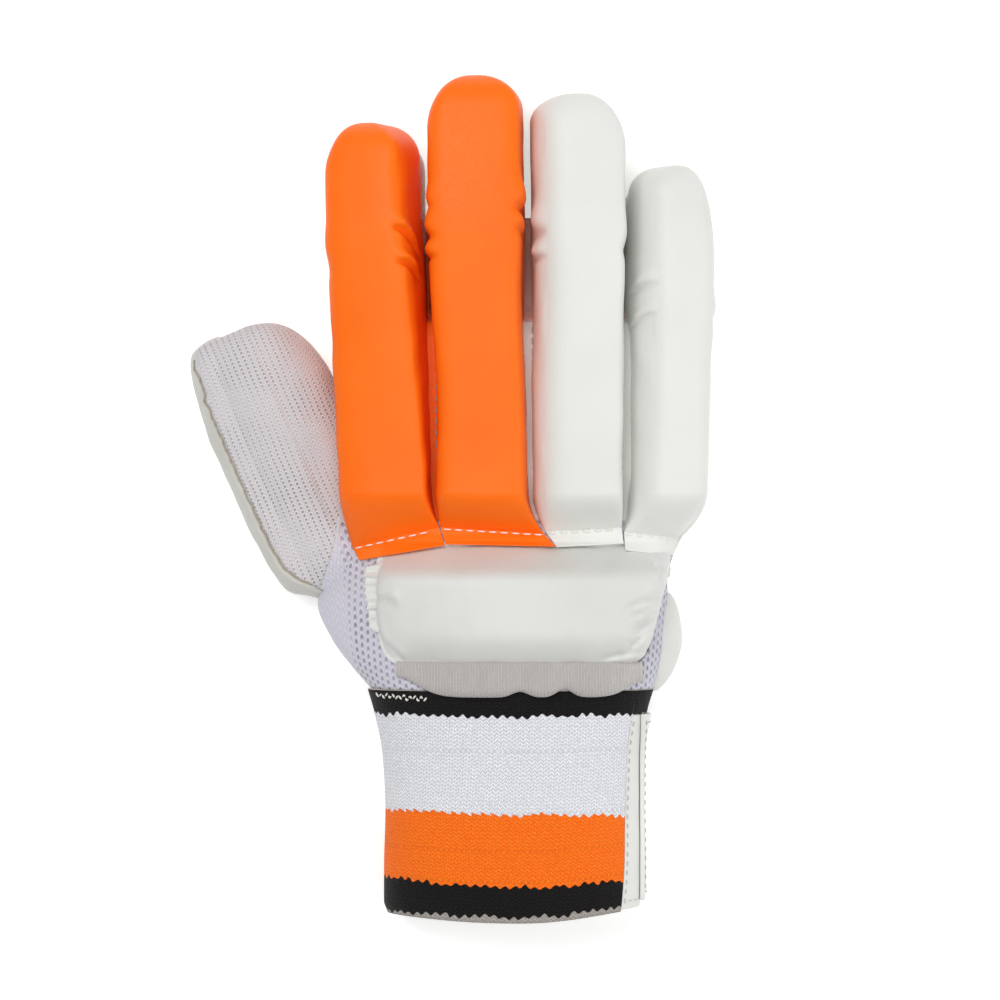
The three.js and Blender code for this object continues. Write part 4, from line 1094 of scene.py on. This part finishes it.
def roll_points(name, finger):
    """A padded roll: boxy rings that round in at the tip, drawn down to a flat hem at the root. Each point is placed
    in the turned finger's frame and on the draped hem, and the two are mixed over the sloping end."""
    hem = HEMS[name]
    length = finger["length"]
    sloped, round_end = ROOT_TAPER + 2, 26
    station = np.concatenate([
        np.linspace(-1, 0, 12, endpoint=False), np.linspace(0, sloped, 40, endpoint=False),
        np.linspace(sloped, length - round_end, 190, endpoint=False),
        length - round_end * (1 - np.sin(np.linspace(0, math.pi / 2 - 0.035, 52))),
    ])[:, None]
    c, s = squircle(144, finger["square"], 5.0)
    y = KNUCKLE_Y + np.maximum(station, 0)
    distance = finger["tip_y"] - y
    share = np.clip((y - KNUCKLE_Y) / length, 0, 1)
    top = mix(finger["top_root"], finger["top_tip"], share)
    waist = mix(SKIRT_HEIGHT, top, 0.5)
    half = mix(finger["width"], finger["tip_width"], share) / 2
    left = half * end_share(distance, finger["cap_left"], 2.05)
    right = half * end_share(distance, finger["cap_right"], 2.05)
    across = c * np.where(c >= 0, right, left)
    up = waist + s * np.where(s >= 0, (top - waist) * end_share(distance, ROLL_CAP, 2.6) ** 0.8, waist - SKIRT_HEIGHT)
    down = np.clip(top - up, 0, None)
    for side in (-1, 1):
        if (name, side) in EDGE_TRIM:
            at_top, at_base = (read_curve(y, TRIM_Y, values) for values in EDGE_TRIM[name, side])
            high = np.clip((up - SKIRT_HEIGHT) / (top - SKIRT_HEIGHT), 0, 1)
            across = across + side * mix(at_base, at_top, high) * smoothstep(0.2, 0.95, side * c)
        push = fold_push(name, finger, distance, down, side) * smoothstep(0.72, 0.98, side * c)
        across = across + side * push
        up = up + 0.45 * push * (s > 0) * smoothstep(0.3, 0.9, s)
    crowned = (s > 0) * (1 - (across / half) ** 2).clip(0, 1)
    up = up + 0.9 * crowned * end_share(distance, ROLL_CAP * 1.6, 2)
    seed = sum(map(ord, name))
    up = up + 0.22 * waves(seed, across, y, size=24) * (s > 0)
    across = across + 0.25 * waves(seed + 1, up, y, size=16) * (np.abs(c) > 0.8)
    roof = stall_roof(finger, y, across)
    up = np.where(s < -0.6, np.maximum(up, np.minimum(roof, top - 4)), up)
    placed = place_section(finger_pose(finger, y), y, across, up)
    over_hand = hand_top(placed[..., 0], placed[..., 1]) + SEWN_GAP
    on_hand = (s < -0.6) & (placed[..., 1] < CROTCH_Y)
    placed[..., 2] = np.where(on_hand, np.maximum(placed[..., 2], over_hand), placed[..., 2])
    hem_x, hem_y = hem_point(hem, (1 + c) / 2, station)
    thickness = HEM_THICKNESS * (0.5 + 0.5 * np.clip(1.4 * s, -1, 1))
    ripple = 0.3 * waves(seed + 2, hem_x, size=9) * smoothstep(0, -1, station)
    sewn = 0.45 * np.exp(-((station + 0.05) / 0.22) ** 2) * (s > 0)
    hem_z = hand_top(hem_x, hem_y) + SEWN_GAP + thickness - sewn + np.maximum(ripple, -0.1) + pad_front(hem_x, hem_y)
    draped = grid(hem_x, hem_y, hem_z)
    weight = ((1 - np.clip(station / ROOT_TAPER, 0, 1)) ** ROOT_CURVE)[..., None]
    return placed * (1 - weight) + draped * weight


def cover_of(orange):
    return (ORANGE, "orange_cover") if orange else (WHITE, "white_cover")


for name, finger in FINGERS.items():
    roll = surface(f"roll_{name}", roll_points(name, finger), closed=True, caps=True)
    finish_piece(roll, *cover_of(name in ("index", "middle")), [f"finger_roll_{name}"], fill=0.95)


def hem_run(name):
    """The stitching's run on a hem, just below its sewn line."""
    share = np.linspace(0.02, 0.98, 40)
    x, y = hem_point(HEMS[name], share, np.full_like(share, -0.12))
    near = 0.5
    slope_x = (hand_top(x + near, y) - hand_top(x - near, y)) / (2 * near)
    return grid(x, y, hand_top(x, y) + SEWN_GAP + HEM_THICKNESS + 0.02), to_length_one(grid(-slope_x, 0.0, 1.0))


finish_piece(stitches("hem_stitching", [hem_run(name) for name in FINGERS]), THREAD, "white_cover")


# ---------------------------------------------------------------- between the fingers

NEIGHBOURS = (("index", "middle"), ("middle", "ring"), ("ring", "little"))
STRIP_LIFT = {"index": 0.5, "middle": 4.5, "ring": 4.5}


def row_middle(left, right, y):
    """Middle of the gap between two fingers."""
    a, b = finger_pose(FINGERS[left], y), finger_pose(FINGERS[right], y)
    return (a["axis"] + FINGERS[left]["width"] / 2 + b["axis"] - FINGERS[right]["width"] / 2) / 2


def strip_top(left, x, y):
    """Height of the strip between two rolls: it climbs from the hems to its lift above the hand."""
    return hand_top(x, y) + mix(0.5, STRIP_LIFT[left], smoothstep(29, 44, y))


def gap_strip_points(left, right):
    """Leather between two rolls: a strip along the back of the hand, shallow in the middle."""
    y = np.linspace(KNUCKLE_Y + 2, CROTCH_Y - 1, 60)[:, None]
    t = np.linspace(-1, 1, 13)[None]
    x = row_middle(left, right, y) + 4.5 * t
    return grid(x, y, strip_top(left, x, y) + 0.5 * t ** 2)


def web_height(left, right, y, t):
    """The web from one stall's side to the next: level with the hand at the crotch, sagging further beyond it."""
    edges = []
    for name, side in ((left, 1), (right, -1)):
        section = stall_section(FINGERS[name], np.maximum(y, CROTCH_Y - 4))
        reach = 0.93 * section["left"]
        edges.append((section["axis"] + side * reach, section["rise"] + STALL_DEPTH / 2 + 5 + STRIP_LIFT[left]))
    (ax, az), (bx, bz) = edges
    beyond = np.clip((y - CROTCH_Y) / 26, 0, 1)
    trough = 2.2 * smoothstep(CROTCH_Y + 1.2, CROTCH_Y + 4.5, y) * (1 - np.abs(2 * t - 1) ** 4)
    sag = (0.8 + 9 * beyond) * (1 - (2 * t - 1) ** 2) + trough
    x, z = mix(ax, bx, t), mix(az, bz, t) - sag
    return x, np.where(y < CROTCH_Y, np.maximum(z, hand_top(x, y) + STRIP_LIFT[left] - 0.1), z)


def web_points(left, right):
    y = np.linspace(CROTCH_Y - 3, CROTCH_Y + 34, 48)[:, None]
    x, z = web_height(left, right, y, np.linspace(0, 1, 18)[None])
    return grid(x, y, z)


def binding_path(left, right):
    """A U round the crotch: up one side of the web, and down the other."""
    turn = np.linspace(-math.pi / 2, math.pi / 2, 15)
    arm, side = np.linspace(24, 1, 16), np.ones(16)
    depth = 1.2
    y = CROTCH_Y + depth + np.concatenate([arm, -depth * np.cos(turn), arm[::-1]])
    t = 0.5 + 0.26 * np.concatenate([-side, np.sin(turn), side])
    x, z = web_height(left, right, y, t)
    return grid(x, y, z + 0.5)


def gap_run(left, right):
    """The stitching's run up the middle of a strip."""
    y = np.linspace(CROTCH_Y - 3, KNUCKLE_Y + 6, 40)
    x = row_middle(left, right, y) + 0.6
    return grid(x, y, strip_top(left, x, y) + 0.45), straight_up(x)


# The web between the middle and ring fingers and the two outer bindings carry the pink painted reflection.
for (left, right), web_finish, binding_finish in zip(NEIGHBOURS, (WEB_RED, WEB_PAINTED_BOUNCE, PALM),
                                                     (WEB_RED, WEB_PAINTED_BOUNCE, WEB_PAINTED_BOUNCE)):
    strip = surface(f"strip_{left}_{right}", gap_strip_points(left, right), wall=0.4, core=FAR_BELOW)
    finish_piece(strip, *cover_of(left == "index"))
    web = surface(f"web_{left}_{right}", web_points(left, right), wall=0.6, core=FAR_BELOW)
    finish_piece(web, web_finish, "palm_leather")
    binding = tube(f"binding_{left}_{right}", binding_path(left, right), 0.8)
    finish_piece(binding, binding_finish, "white_cover")
finish_piece(stitches("gap_stitching", [gap_run(*pair) for pair in NEIGHBOURS], radius=0.22),
             THREAD_GREY, "white_cover")


# ---------------------------------------------------------------- knuckle pad, ribbed panel, heel

PAD_CREASES = [
    (((44.5, 13.2), (48.2, 10.0)), 1.8, 0.9),
    (((48.2, 10.0), (48.4, 5.0)), 2.2, 0.9),
    (((48.5, 1.0), (37.0, -3.0)), 2.8, 1.5),
    (((46.5, -5.0), (39.5, -10.5)), 2.6, 1.3),
    (((44.0, -10.0), (37.5, -15.5)), 2.4, 1.2),
    (((44.5, -16.2), (30.0, -18.8)), 1.6, 0.7),
    (((-47.0, 0.8), (-40.0, -0.8)), 3.0, 1.0),
    (((-47.5, 9.5), (-43.0, 8.0)), 0.9, 0.7),
    (((-46.4, -6.0), (-44.3, -14.5)), 1.5, 0.7),
    (((-44.6, -13.0), (-38.0, -19.2)), 1.2, 0.8),
    (((-30.0, 12.5), (12.0, 12.0)), 0.35, 2.0),
]


def pad_points():
    """The bar across the knuckles: rings square to X over the arch of the hand, drawn in at both ends, sheared in
    towards the wrist, with a long slope on the side of the fingers and creases at the ends. Its underside follows the
    hand."""
    c, s = squircle(96, 3.2, 3.0)
    straight = np.linspace(-PAD_LEFT + PAD_END_CAP, PAD_RIGHT - PAD_END_CAP, 150)
    cap = PAD_END_CAP * np.sin(np.linspace(0, math.pi / 2 - 0.05, 34))[1:]
    x = np.concatenate([(-PAD_LEFT + PAD_END_CAP - cap)[::-1], straight, PAD_RIGHT - PAD_END_CAP + cap])[:, None]
    left_over = end_share(np.minimum(x + PAD_LEFT, PAD_RIGHT - x), PAD_END_CAP, 2.6)
    middle, half = (PAD_TOP_Y + PAD_BOTTOM_Y) / 2, (PAD_TOP_Y - PAD_BOTTOM_Y) / 2
    y = middle + c * half * left_over ** 0.35 + 0.35 * waves(31, x, size=19) * np.abs(c)
    x = x + (2.0 - 0.25 * (14 - y)) * smoothstep(12, 50, x) + 0.22 * soft_ramp(-9 - y, 2) * smoothstep(20, 46, -x)
    base = hand_top(0.0, -1.5) - PAD_DROP * (x / np.where(x > 0, PAD_RIGHT, PAD_LEFT)) ** 2
    height = PAD_HEIGHT * left_over ** 0.6
    z = base + WAIST_SHARE * height + s * np.where(s >= 0, 1 - WAIST_SHARE, WAIST_SHARE) * height
    z = z - PAD_FRONT_SLOPE * smoothstep(0.35, 1.0, c) - PAD_BACK_SLOPE * smoothstep(0.45, 1.05, -c) * (s > 0)
    z = z + (0.3 * waves(32, x, y, size=24) + 0.1 * waves(33, x, y, size=9)) * (s > 0)
    for line, depth, width in PAD_CREASES:
        z = z + plan_crease(x, y, line, depth, width) * smoothstep(0, 0.5, s)
    floor = hand_top(x, np.clip(y, WRIST_Y, 60)) + SEWN_GAP
    z = mix(floor, z, smoothstep(-0.95, -0.3, s))
    z = np.maximum(z, floor + 0.6 * smoothstep(-0.2, 0.2, s))
    return grid(x, y, z)


finish_piece(surface("knuckle_bar", pad_points(), closed=True, caps=True), PAD_WHITE_PAINTED_SHADE, "white_cover",
             ["knuckle_pad"], fill=0.85)


def gather_points(side, inner, outer, low_y, high_y, seed):
    """A gathered strip that joins an end of the pad to the hand: it falls from the pad in puckers that are round on
    top and sharp between, and its ragged outer edge draws in towards the wrist."""
    y = np.linspace(low_y, high_y, 170)[:, None]
    t = np.linspace(0, 1, 24)[None]
    ends = smoothstep(low_y - 0.5, low_y + 4, y) * (1 - 0.6 * smoothstep(high_y - 3, high_y, y))
    fold = 1 - 1.9 * np.abs(waves(seed + 2, y + 1.2 * t, size=7, count=3)) ** 0.7
    fold = fold + 0.35 * waves(seed + 3, y - t, size=2.4, count=3)
    reach = (outer(y) - inner + 0.9 * fold) * ends
    x = side * (inner + reach * t)
    z = hand_top(x, y) + 1.0 + 3.4 * (1 - t) ** 1.5 + np.maximum(1.3 * fold * (0.3 + t) * (1.3 - t), -0.8)
    return grid(x, y, z)


for side_name, strip in (
        ("left", gather_points(-1, 42.5, lambda y: 48.4 + 0.11 * (y + 12), -12.5, 12.8, 35)),
        ("right", gather_points(1, 45.0, lambda y: 49.9 + 0.16 * (y - 2), 2.0, 16.5, 36))):
    finish_piece(surface(f"pad_gather_{side_name}", strip, wall=0.5, core=FAR_BELOW), WHITE, "white_cover")


def panel_points():
    """The ribbed panel: columns across the glove, puffed between its upper and its scalloped lower edge, with fine
    ribs as a wave across it."""
    columns, rows = 560, 30
    share = np.linspace(0, 1, columns)[:, None]
    x = mix(-PANEL_LEFT, PANEL_RIGHT, share)
    gather = sum(notch * np.exp(-((share - at) / width) ** 2) for at, notch, width in PANEL_GATHERS)
    top_y = PAD_BOTTOM_Y + 1.5
    low_y = mix(PANEL_BOTTOM_Y, top_y, np.minimum(gather, 0.85))
    t = np.linspace(0, 1, rows)[None]
    y = mix(top_y, low_y, t)
    puff = PANEL_PUFF * (1 - gather * 0.8) * (1 - np.abs(2 * t - 1) ** 2.6) ** 0.5
    ribs = np.sin(2 * math.pi * (x + 0.25 * waves(41, x, y, size=15)) / RIB_WIDTH)
    ribs = RIB_DEPTH * ribs * np.sqrt(puff / PANEL_PUFF)
    soft = (0.5 * waves(42, x, size=17) + 0.45 * waves(43, x + 1.5 * t, size=7, count=3)) * np.sin(math.pi * t)
    z = hand_top(x, np.maximum(y, WRIST_Y)) + SEWN_GAP + 0.5 + np.maximum(puff + soft, 0) + ribs
    under_y = mix(low_y, top_y, np.array([[0, 0.5, 1]]))
    under = grid(x, under_y, hand_top(x, np.maximum(under_y, WRIST_Y)) + SEWN_GAP)
    return np.concatenate([grid(x, y, z), under], axis=1)


finish_piece(surface("ribbed_panel", panel_points(), closed=True, caps=True), RIBBED_PAINTED_SHADE, "ribbed_elastic",
             ["rib_panel"], fill=0.7)


def heel_points():
    """The heel's padded patch: ovals that swell and fade along the hand's right edge."""
    c, s = squircle(48, 2.4, 2.4)
    t = np.linspace(0.01, 0.99, 70)[:, None]
    y = mix(HEEL_BOTTOM_Y, HEEL_TOP_Y, t)
    hand = hand_section(np.maximum(y, WRIST_Y))
    swell = np.maximum(0.12, np.sin(math.pi * t ** 0.8) ** 0.6)
    middle = (HEEL_LOW + HEEL_HIGH) / 2
    x = hand["axis"] + hand["right"] - HEEL_REACH + c * np.where(c > 0, HEEL_REACH * (1 + swell), HEEL_REACH)
    z = middle + s * np.where(s > 0, HEEL_HIGH - middle, middle - HEEL_LOW) * swell ** 0.5
    x = x + 0.25 * waves(51, y, z, size=11) * (c > 0)
    return grid(x, y, z)


finish_piece(surface("heel_patch", heel_points(), closed=True, caps=True), WHITE, "white_cover",
             ["heel_pad"], fill=0.6)


def guard_points():
    """The bolster along the thumb: ovals from an inner line to its outer reach; its upper inner edge is puckered
    where it is sewn to the knit."""
    tip = (1 - np.cos(np.linspace(0, math.pi, 200))) / 2
    along = mix(GUARD_ALONG[0], GUARD_ALONG[-1], tip)[:, None]
    inner, outer, top = guard_size(along)
    c, s = squircle(96, 2.5, 3.0)
    from_end = np.minimum(along - GUARD_ALONG[0], GUARD_ALONG[-1] - along) * THUMB_LENGTH + 0.02
    rounded = end_share(from_end, 4.5, 2.2)
    x = -(outer + inner) / 2 + c * (outer - inner) / 2 * rounded ** 0.5
    waist = mix(-FLOOR_SINK, top, WAIST_SHARE)
    z = waist + s * np.where(s >= 0, top - waist, waist + FLOOR_SINK) * rounded
    y = along * THUMB_LENGTH
    off = -x - knit_edge(along)
    puff = 0.8 * np.exp(-((off - 1.9) / 1.5) ** 2) - 0.5 * np.exp(-(off / 0.7) ** 2)
    z = z + (s > 0) * puff * (1 + 0.5 * waves(61, y, size=6, count=4))
    x = x + 0.3 * waves(62, y, z, size=13) * (c < 0)
    return clear_of_floor(thumb_to_glove(grid(x, y, z)))


finish_piece(surface("thumb_bolster", guard_points(), closed=True, caps=True), GUARD_WHITE_PAINTED_SHADE, "white_cover",
             ["thumb_guard"], fill=0.9)


def seam_path():
    """The bolster's seam over the thumb, a little above both."""
    along = np.linspace(0.02, 0.965, 220)
    out = knit_edge(along) + 0.25 + 0.3 * waves(64, along * THUMB_LENGTH, size=3)
    z = guard_roof(along, out) + 0.15 + 0.3 * waves(65, along * THUMB_LENGTH, size=3.5)
    return thumb_to_glove(grid(-out, along * THUMB_LENGTH, z))


finish_piece(tube("thumb_seam_fray", seam_path(), 0.34, sides=6), TAN, "thumb_knit")


def welt_path():
    """The raised seam between the thumb and the hand, on the higher of the two."""
    y = np.linspace(60, 8, 90)
    x = seam_x(y) + 0.2
    return grid(x, y, np.maximum(np.maximum(hand_top(x, y), thumb_top(x, y)), SEAM_HEIGHT) - 0.3)


finish_piece(tube("thumb_welt", welt_path(), 0.75), FINGER_KNIT, "air_mesh")


# ---------------------------------------------------------------- wristband and closure

def cuff_section(v):
    """The wristband's oval at a distance v below its upper edge."""
    along = v / CUFF_LENGTH
    half, depth = WRIST_WIDTH / 2, WRIST_DEPTH * read_curve(along, CUFF_ALONG, CUFF_DEPTH)
    return dict(
        axis=0.0, left=half * read_curve(along, CUFF_ALONG, CUFF_LEFT),
        right=half * read_curve(along, CUFF_ALONG, CUFF_RIGHT),
        bottom=CUFF_LIFT, top=CUFF_LIFT + depth, waist=CUFF_LIFT + depth * WAIST_SHARE,
        rise=0.0, upper=CUFF_POWER, lower=PALM_POWER, tilt=0.0, pivot=0.0,
    )


def cuff_points(v, angle, grow=0.0):
    """Points of the wristband at distances v below its upper edge and at angles round it. Its back is bowed down, and
    its right side is drawn up."""
    section = cuff_section(v)
    c, s = unit_oval(section, angle)
    down = v[:, None] / CUFF_LENGTH
    bow = CUFF_BOW * down * np.maximum(0, s) * (1 - c * c) - CUFF_RAISED_RIGHT * down ** 2 * smoothstep(0.1, 1, c)
    return oval_points(section, WRIST_Y - SEWN_GAP - v[:, None] - bow, c, s, grow)


def cuff_core(y):
    """Points on the wristband's middle line."""
    return grid(0.0, y, 20.0)


def angle_at(v, x, under):
    """Angle round the wristband where it passes x, on its back or under it."""
    section = cuff_section(v)
    half = section["right"] if x > 0 else section["left"]
    power = section["lower"] if under else section["upper"]
    angle = np.arccos(np.sign(x) * np.minimum(np.abs(x) / half, 1) ** (power / 2))
    return 2 * math.pi - angle if under else angle


def band_edge(v):
    """Angle of the wristband's edge on the back, where the closure begins."""
    return math.radians(29.6) + math.radians(6) * (v / CUFF_LENGTH) ** 2


def band_points():
    """The wristband's grid, which quads of it stay, and its UV map: the ring at the top goes all the way round, and
    below it the band is open where the closure is."""
    v = np.unique(np.concatenate([np.linspace(0, BAND_RING, 10), np.linspace(BAND_RING, CUFF_LENGTH, 80)]))
    start, palm = band_edge(v), angle_at(v, BAND_PALM_X, True)
    band_columns = 260
    angle = np.concatenate([even_angles(start, palm, band_columns),
                            even_angles(palm, start + 2 * math.pi, 60)[:, 1:]], axis=1)
    points = cuff_points(v, angle)
    keep = np.ones((len(v) - 1, angle.shape[1] - 1), bool)
    keep[(v[:-1] + v[1:]) / 2 > BAND_RING, band_columns - 1:] = False
    across = walked(points, 1)
    middle = np.argmin(np.abs(angle - math.pi / 2), axis=1)
    across -= across[np.arange(len(v)), middle][:, None]
    uv = grid(across, v[:, None])
    points[..., 2] += 0.25 * waves(71, across, uv[..., 1], size=18) * np.sin(angle)
    return points, keep, uv


points, keep, uv = band_points()
band = surface("wristband_knit", points, keep=keep, uv=uv, wall=KNIT_WALL, core=cuff_core(points[:, 0, 1]))
finish_piece(band, WRIST_KNIT, "wrist_knit", ["cuff_band"])
lining = band.modifiers["wall"]
lining.material_offset = 1
lining.material_offset_rim = 1
band.data.materials.append(LINING)


def band_run(x, y):
    """A run over the wristband's back at places of the plan."""
    section = cuff_section(np.clip(WRIST_Y - SEWN_GAP - y, 0, CUFF_LENGTH))
    share = np.abs(x) / np.where(x > 0, section["right"], section["left"])
    z = section["waist"] + (section["top"] - section["waist"]) * crown(share, CUFF_POWER)
    return grid(x, y, z + 0.25), straight_up(x)


zigzag_x = np.linspace(-46.6, -29.5, 19)
zigzag_y = WRIST_Y - 1.2 - 2.0 * (np.arange(19) % 2) * (0.75 + 0.4 * waves(73, zigzag_x, size=5))
zigzag_y = zigzag_y - 0.06 * (zigzag_x - zigzag_x[0]) - 0.35 * waves(72, zigzag_x, size=4)
finish_piece(stitches("band_zigzag", [band_run(zigzag_x, zigzag_y)], dash=1.9, gap=0.4, radius=0.33), THREAD,
             "wrist_knit")


def closure_points(start_angle, end_angle, end_v, grow):
    """A layer of the closure: from the end angle under the wrist round to the start angle on its back, from the ring
    down to end_v, and grown out from the band."""
    v = np.linspace(BAND_RING + SEWN_GAP, end_v, 70)
    points = cuff_points(v, even_angles(end_angle(v), start_angle(v) + 2 * math.pi, 150), grow)
    points[..., 0] += 0.12 * waves(81, points[..., 1], points[..., 2], size=15)
    return points


def closure_piece(name, points, node):
    piece = surface(name, points, core=cuff_core(points[:, 0, 1]), wall=STRAP_THICKNESS)
    bevel = piece.modifiers.new("edge", "BEVEL")
    bevel.width = 0.0004
    bevel.segments = 2
    bevel.limit_method = "ANGLE"
    finish_piece(piece, WHITE, "white_cover", [node])


base_points = closure_points(lambda v: band_edge(v) - 0.012, lambda v: angle_at(v, BAND_PALM_X + SEWN_GAP, True),
                             CUFF_LENGTH - BASE_SHORT, -SEWN_GAP)
closure_piece("closure_panel", base_points, "closure_base")
strap_points = closure_points(lambda v: angle_at(v, STRAP_BACK_X, False), lambda v: angle_at(v, STRAP_PALM_X, True),
                              CUFF_LENGTH - BASE_SHORT - STRAP_SHORT, STRAP_THICKNESS - 0.1)
closure_piece("closure_tab", strap_points, "closure_strap")


def closure_run(points, row=None, column=None):
    """A run of sewing along one row or one column of a closure's grid, on its outside."""
    path = points[row, 2:-2] if row is not None else points[2:-2, column]
    normal = to_length_one(path - cuff_core(path[:, 1]))
    return path + 0.1 * normal, normal


closure_runs = [closure_run(points, **line) for points in (base_points, strap_points)
                for line in (dict(column=-4), dict(row=-4))]
closure_runs += [closure_run(strap_points, row=3), closure_run(strap_points, column=3)]
finish_piece(stitches("closure_stitching", closure_runs, dash=2.2, gap=0.9, radius=0.2), THREAD_GREY, "white_cover")


# ---------------------------------------------------------------- camera, floor and light

def softbox(name, place, size, power):
    """A square area light turned towards the glove's middle."""
    light = bpy.data.lights.new(name, "AREA")
    light.shape = "SQUARE"
    light.size = size
    light.energy = power
    lamp = add_object(name, light)
    lamp.location = place
    lamp.rotation_mode = "QUATERNION"
    lamp.rotation_quaternion = (Vector((0, 0.03, 0)) - Vector(place)).to_track_quat("-Z", "Y")


def studio():
    """A pale floor, three softboxes, an even pale surround, and a camera straight above."""
    floor_mesh = bpy.data.meshes.new("floor")
    reach = 3.0
    floor_mesh.from_pydata([(-reach, -reach, 0), (reach, -reach, 0), (reach, reach, 0), (-reach, reach, 0)], [],
                           [(0, 1, 2, 3)])
    floor = add_object("floor", floor_mesh)
    f = Finish("floor_paper", 0.9, specular=0.1)
    f.colour(linear(250, 250, 250))
    f.put(f.shader.inputs["Emission Color"], (1, 1, 1, 1))
    f.put(f.shader.inputs["Emission Strength"], 0.3)
    floor_mesh.materials.append(f.material)

    softbox("key_softbox", (-0.75, 1.0, 2.4), 1.3, 32.5)
    softbox("top_softbox", (0.25, -0.5, 2.6), 1.8, 18.5)
    softbox("side_softbox", (1.7, -0.2, 1.3), 1.0, 11)
    world = bpy.data.worlds.new("studio")
    world.use_nodes = True
    colour, strength = world.node_tree.nodes["Background"].inputs[:2]
    colour.default_value, strength.default_value = (1, 1, 1, 1), 0.33
    bpy.context.scene.world = world

    # The view is a third of a metre wide at the back of the hand, 25 mm above the floor.
    camera_data = bpy.data.cameras.new("camera")
    camera_data.sensor_width = 36
    distance, view_width, view_height = 1.6, 1 / 3, 0.025
    camera_data.lens = camera_data.sensor_width * distance / view_width
    camera = add_object("camera", camera_data)
    camera.location = (-16 / 3 * MM, 100 / 3 * MM, view_height + distance)
    bpy.context.scene.camera = camera
    bpy.context.scene.view_settings.view_transform = "Standard"


studio()
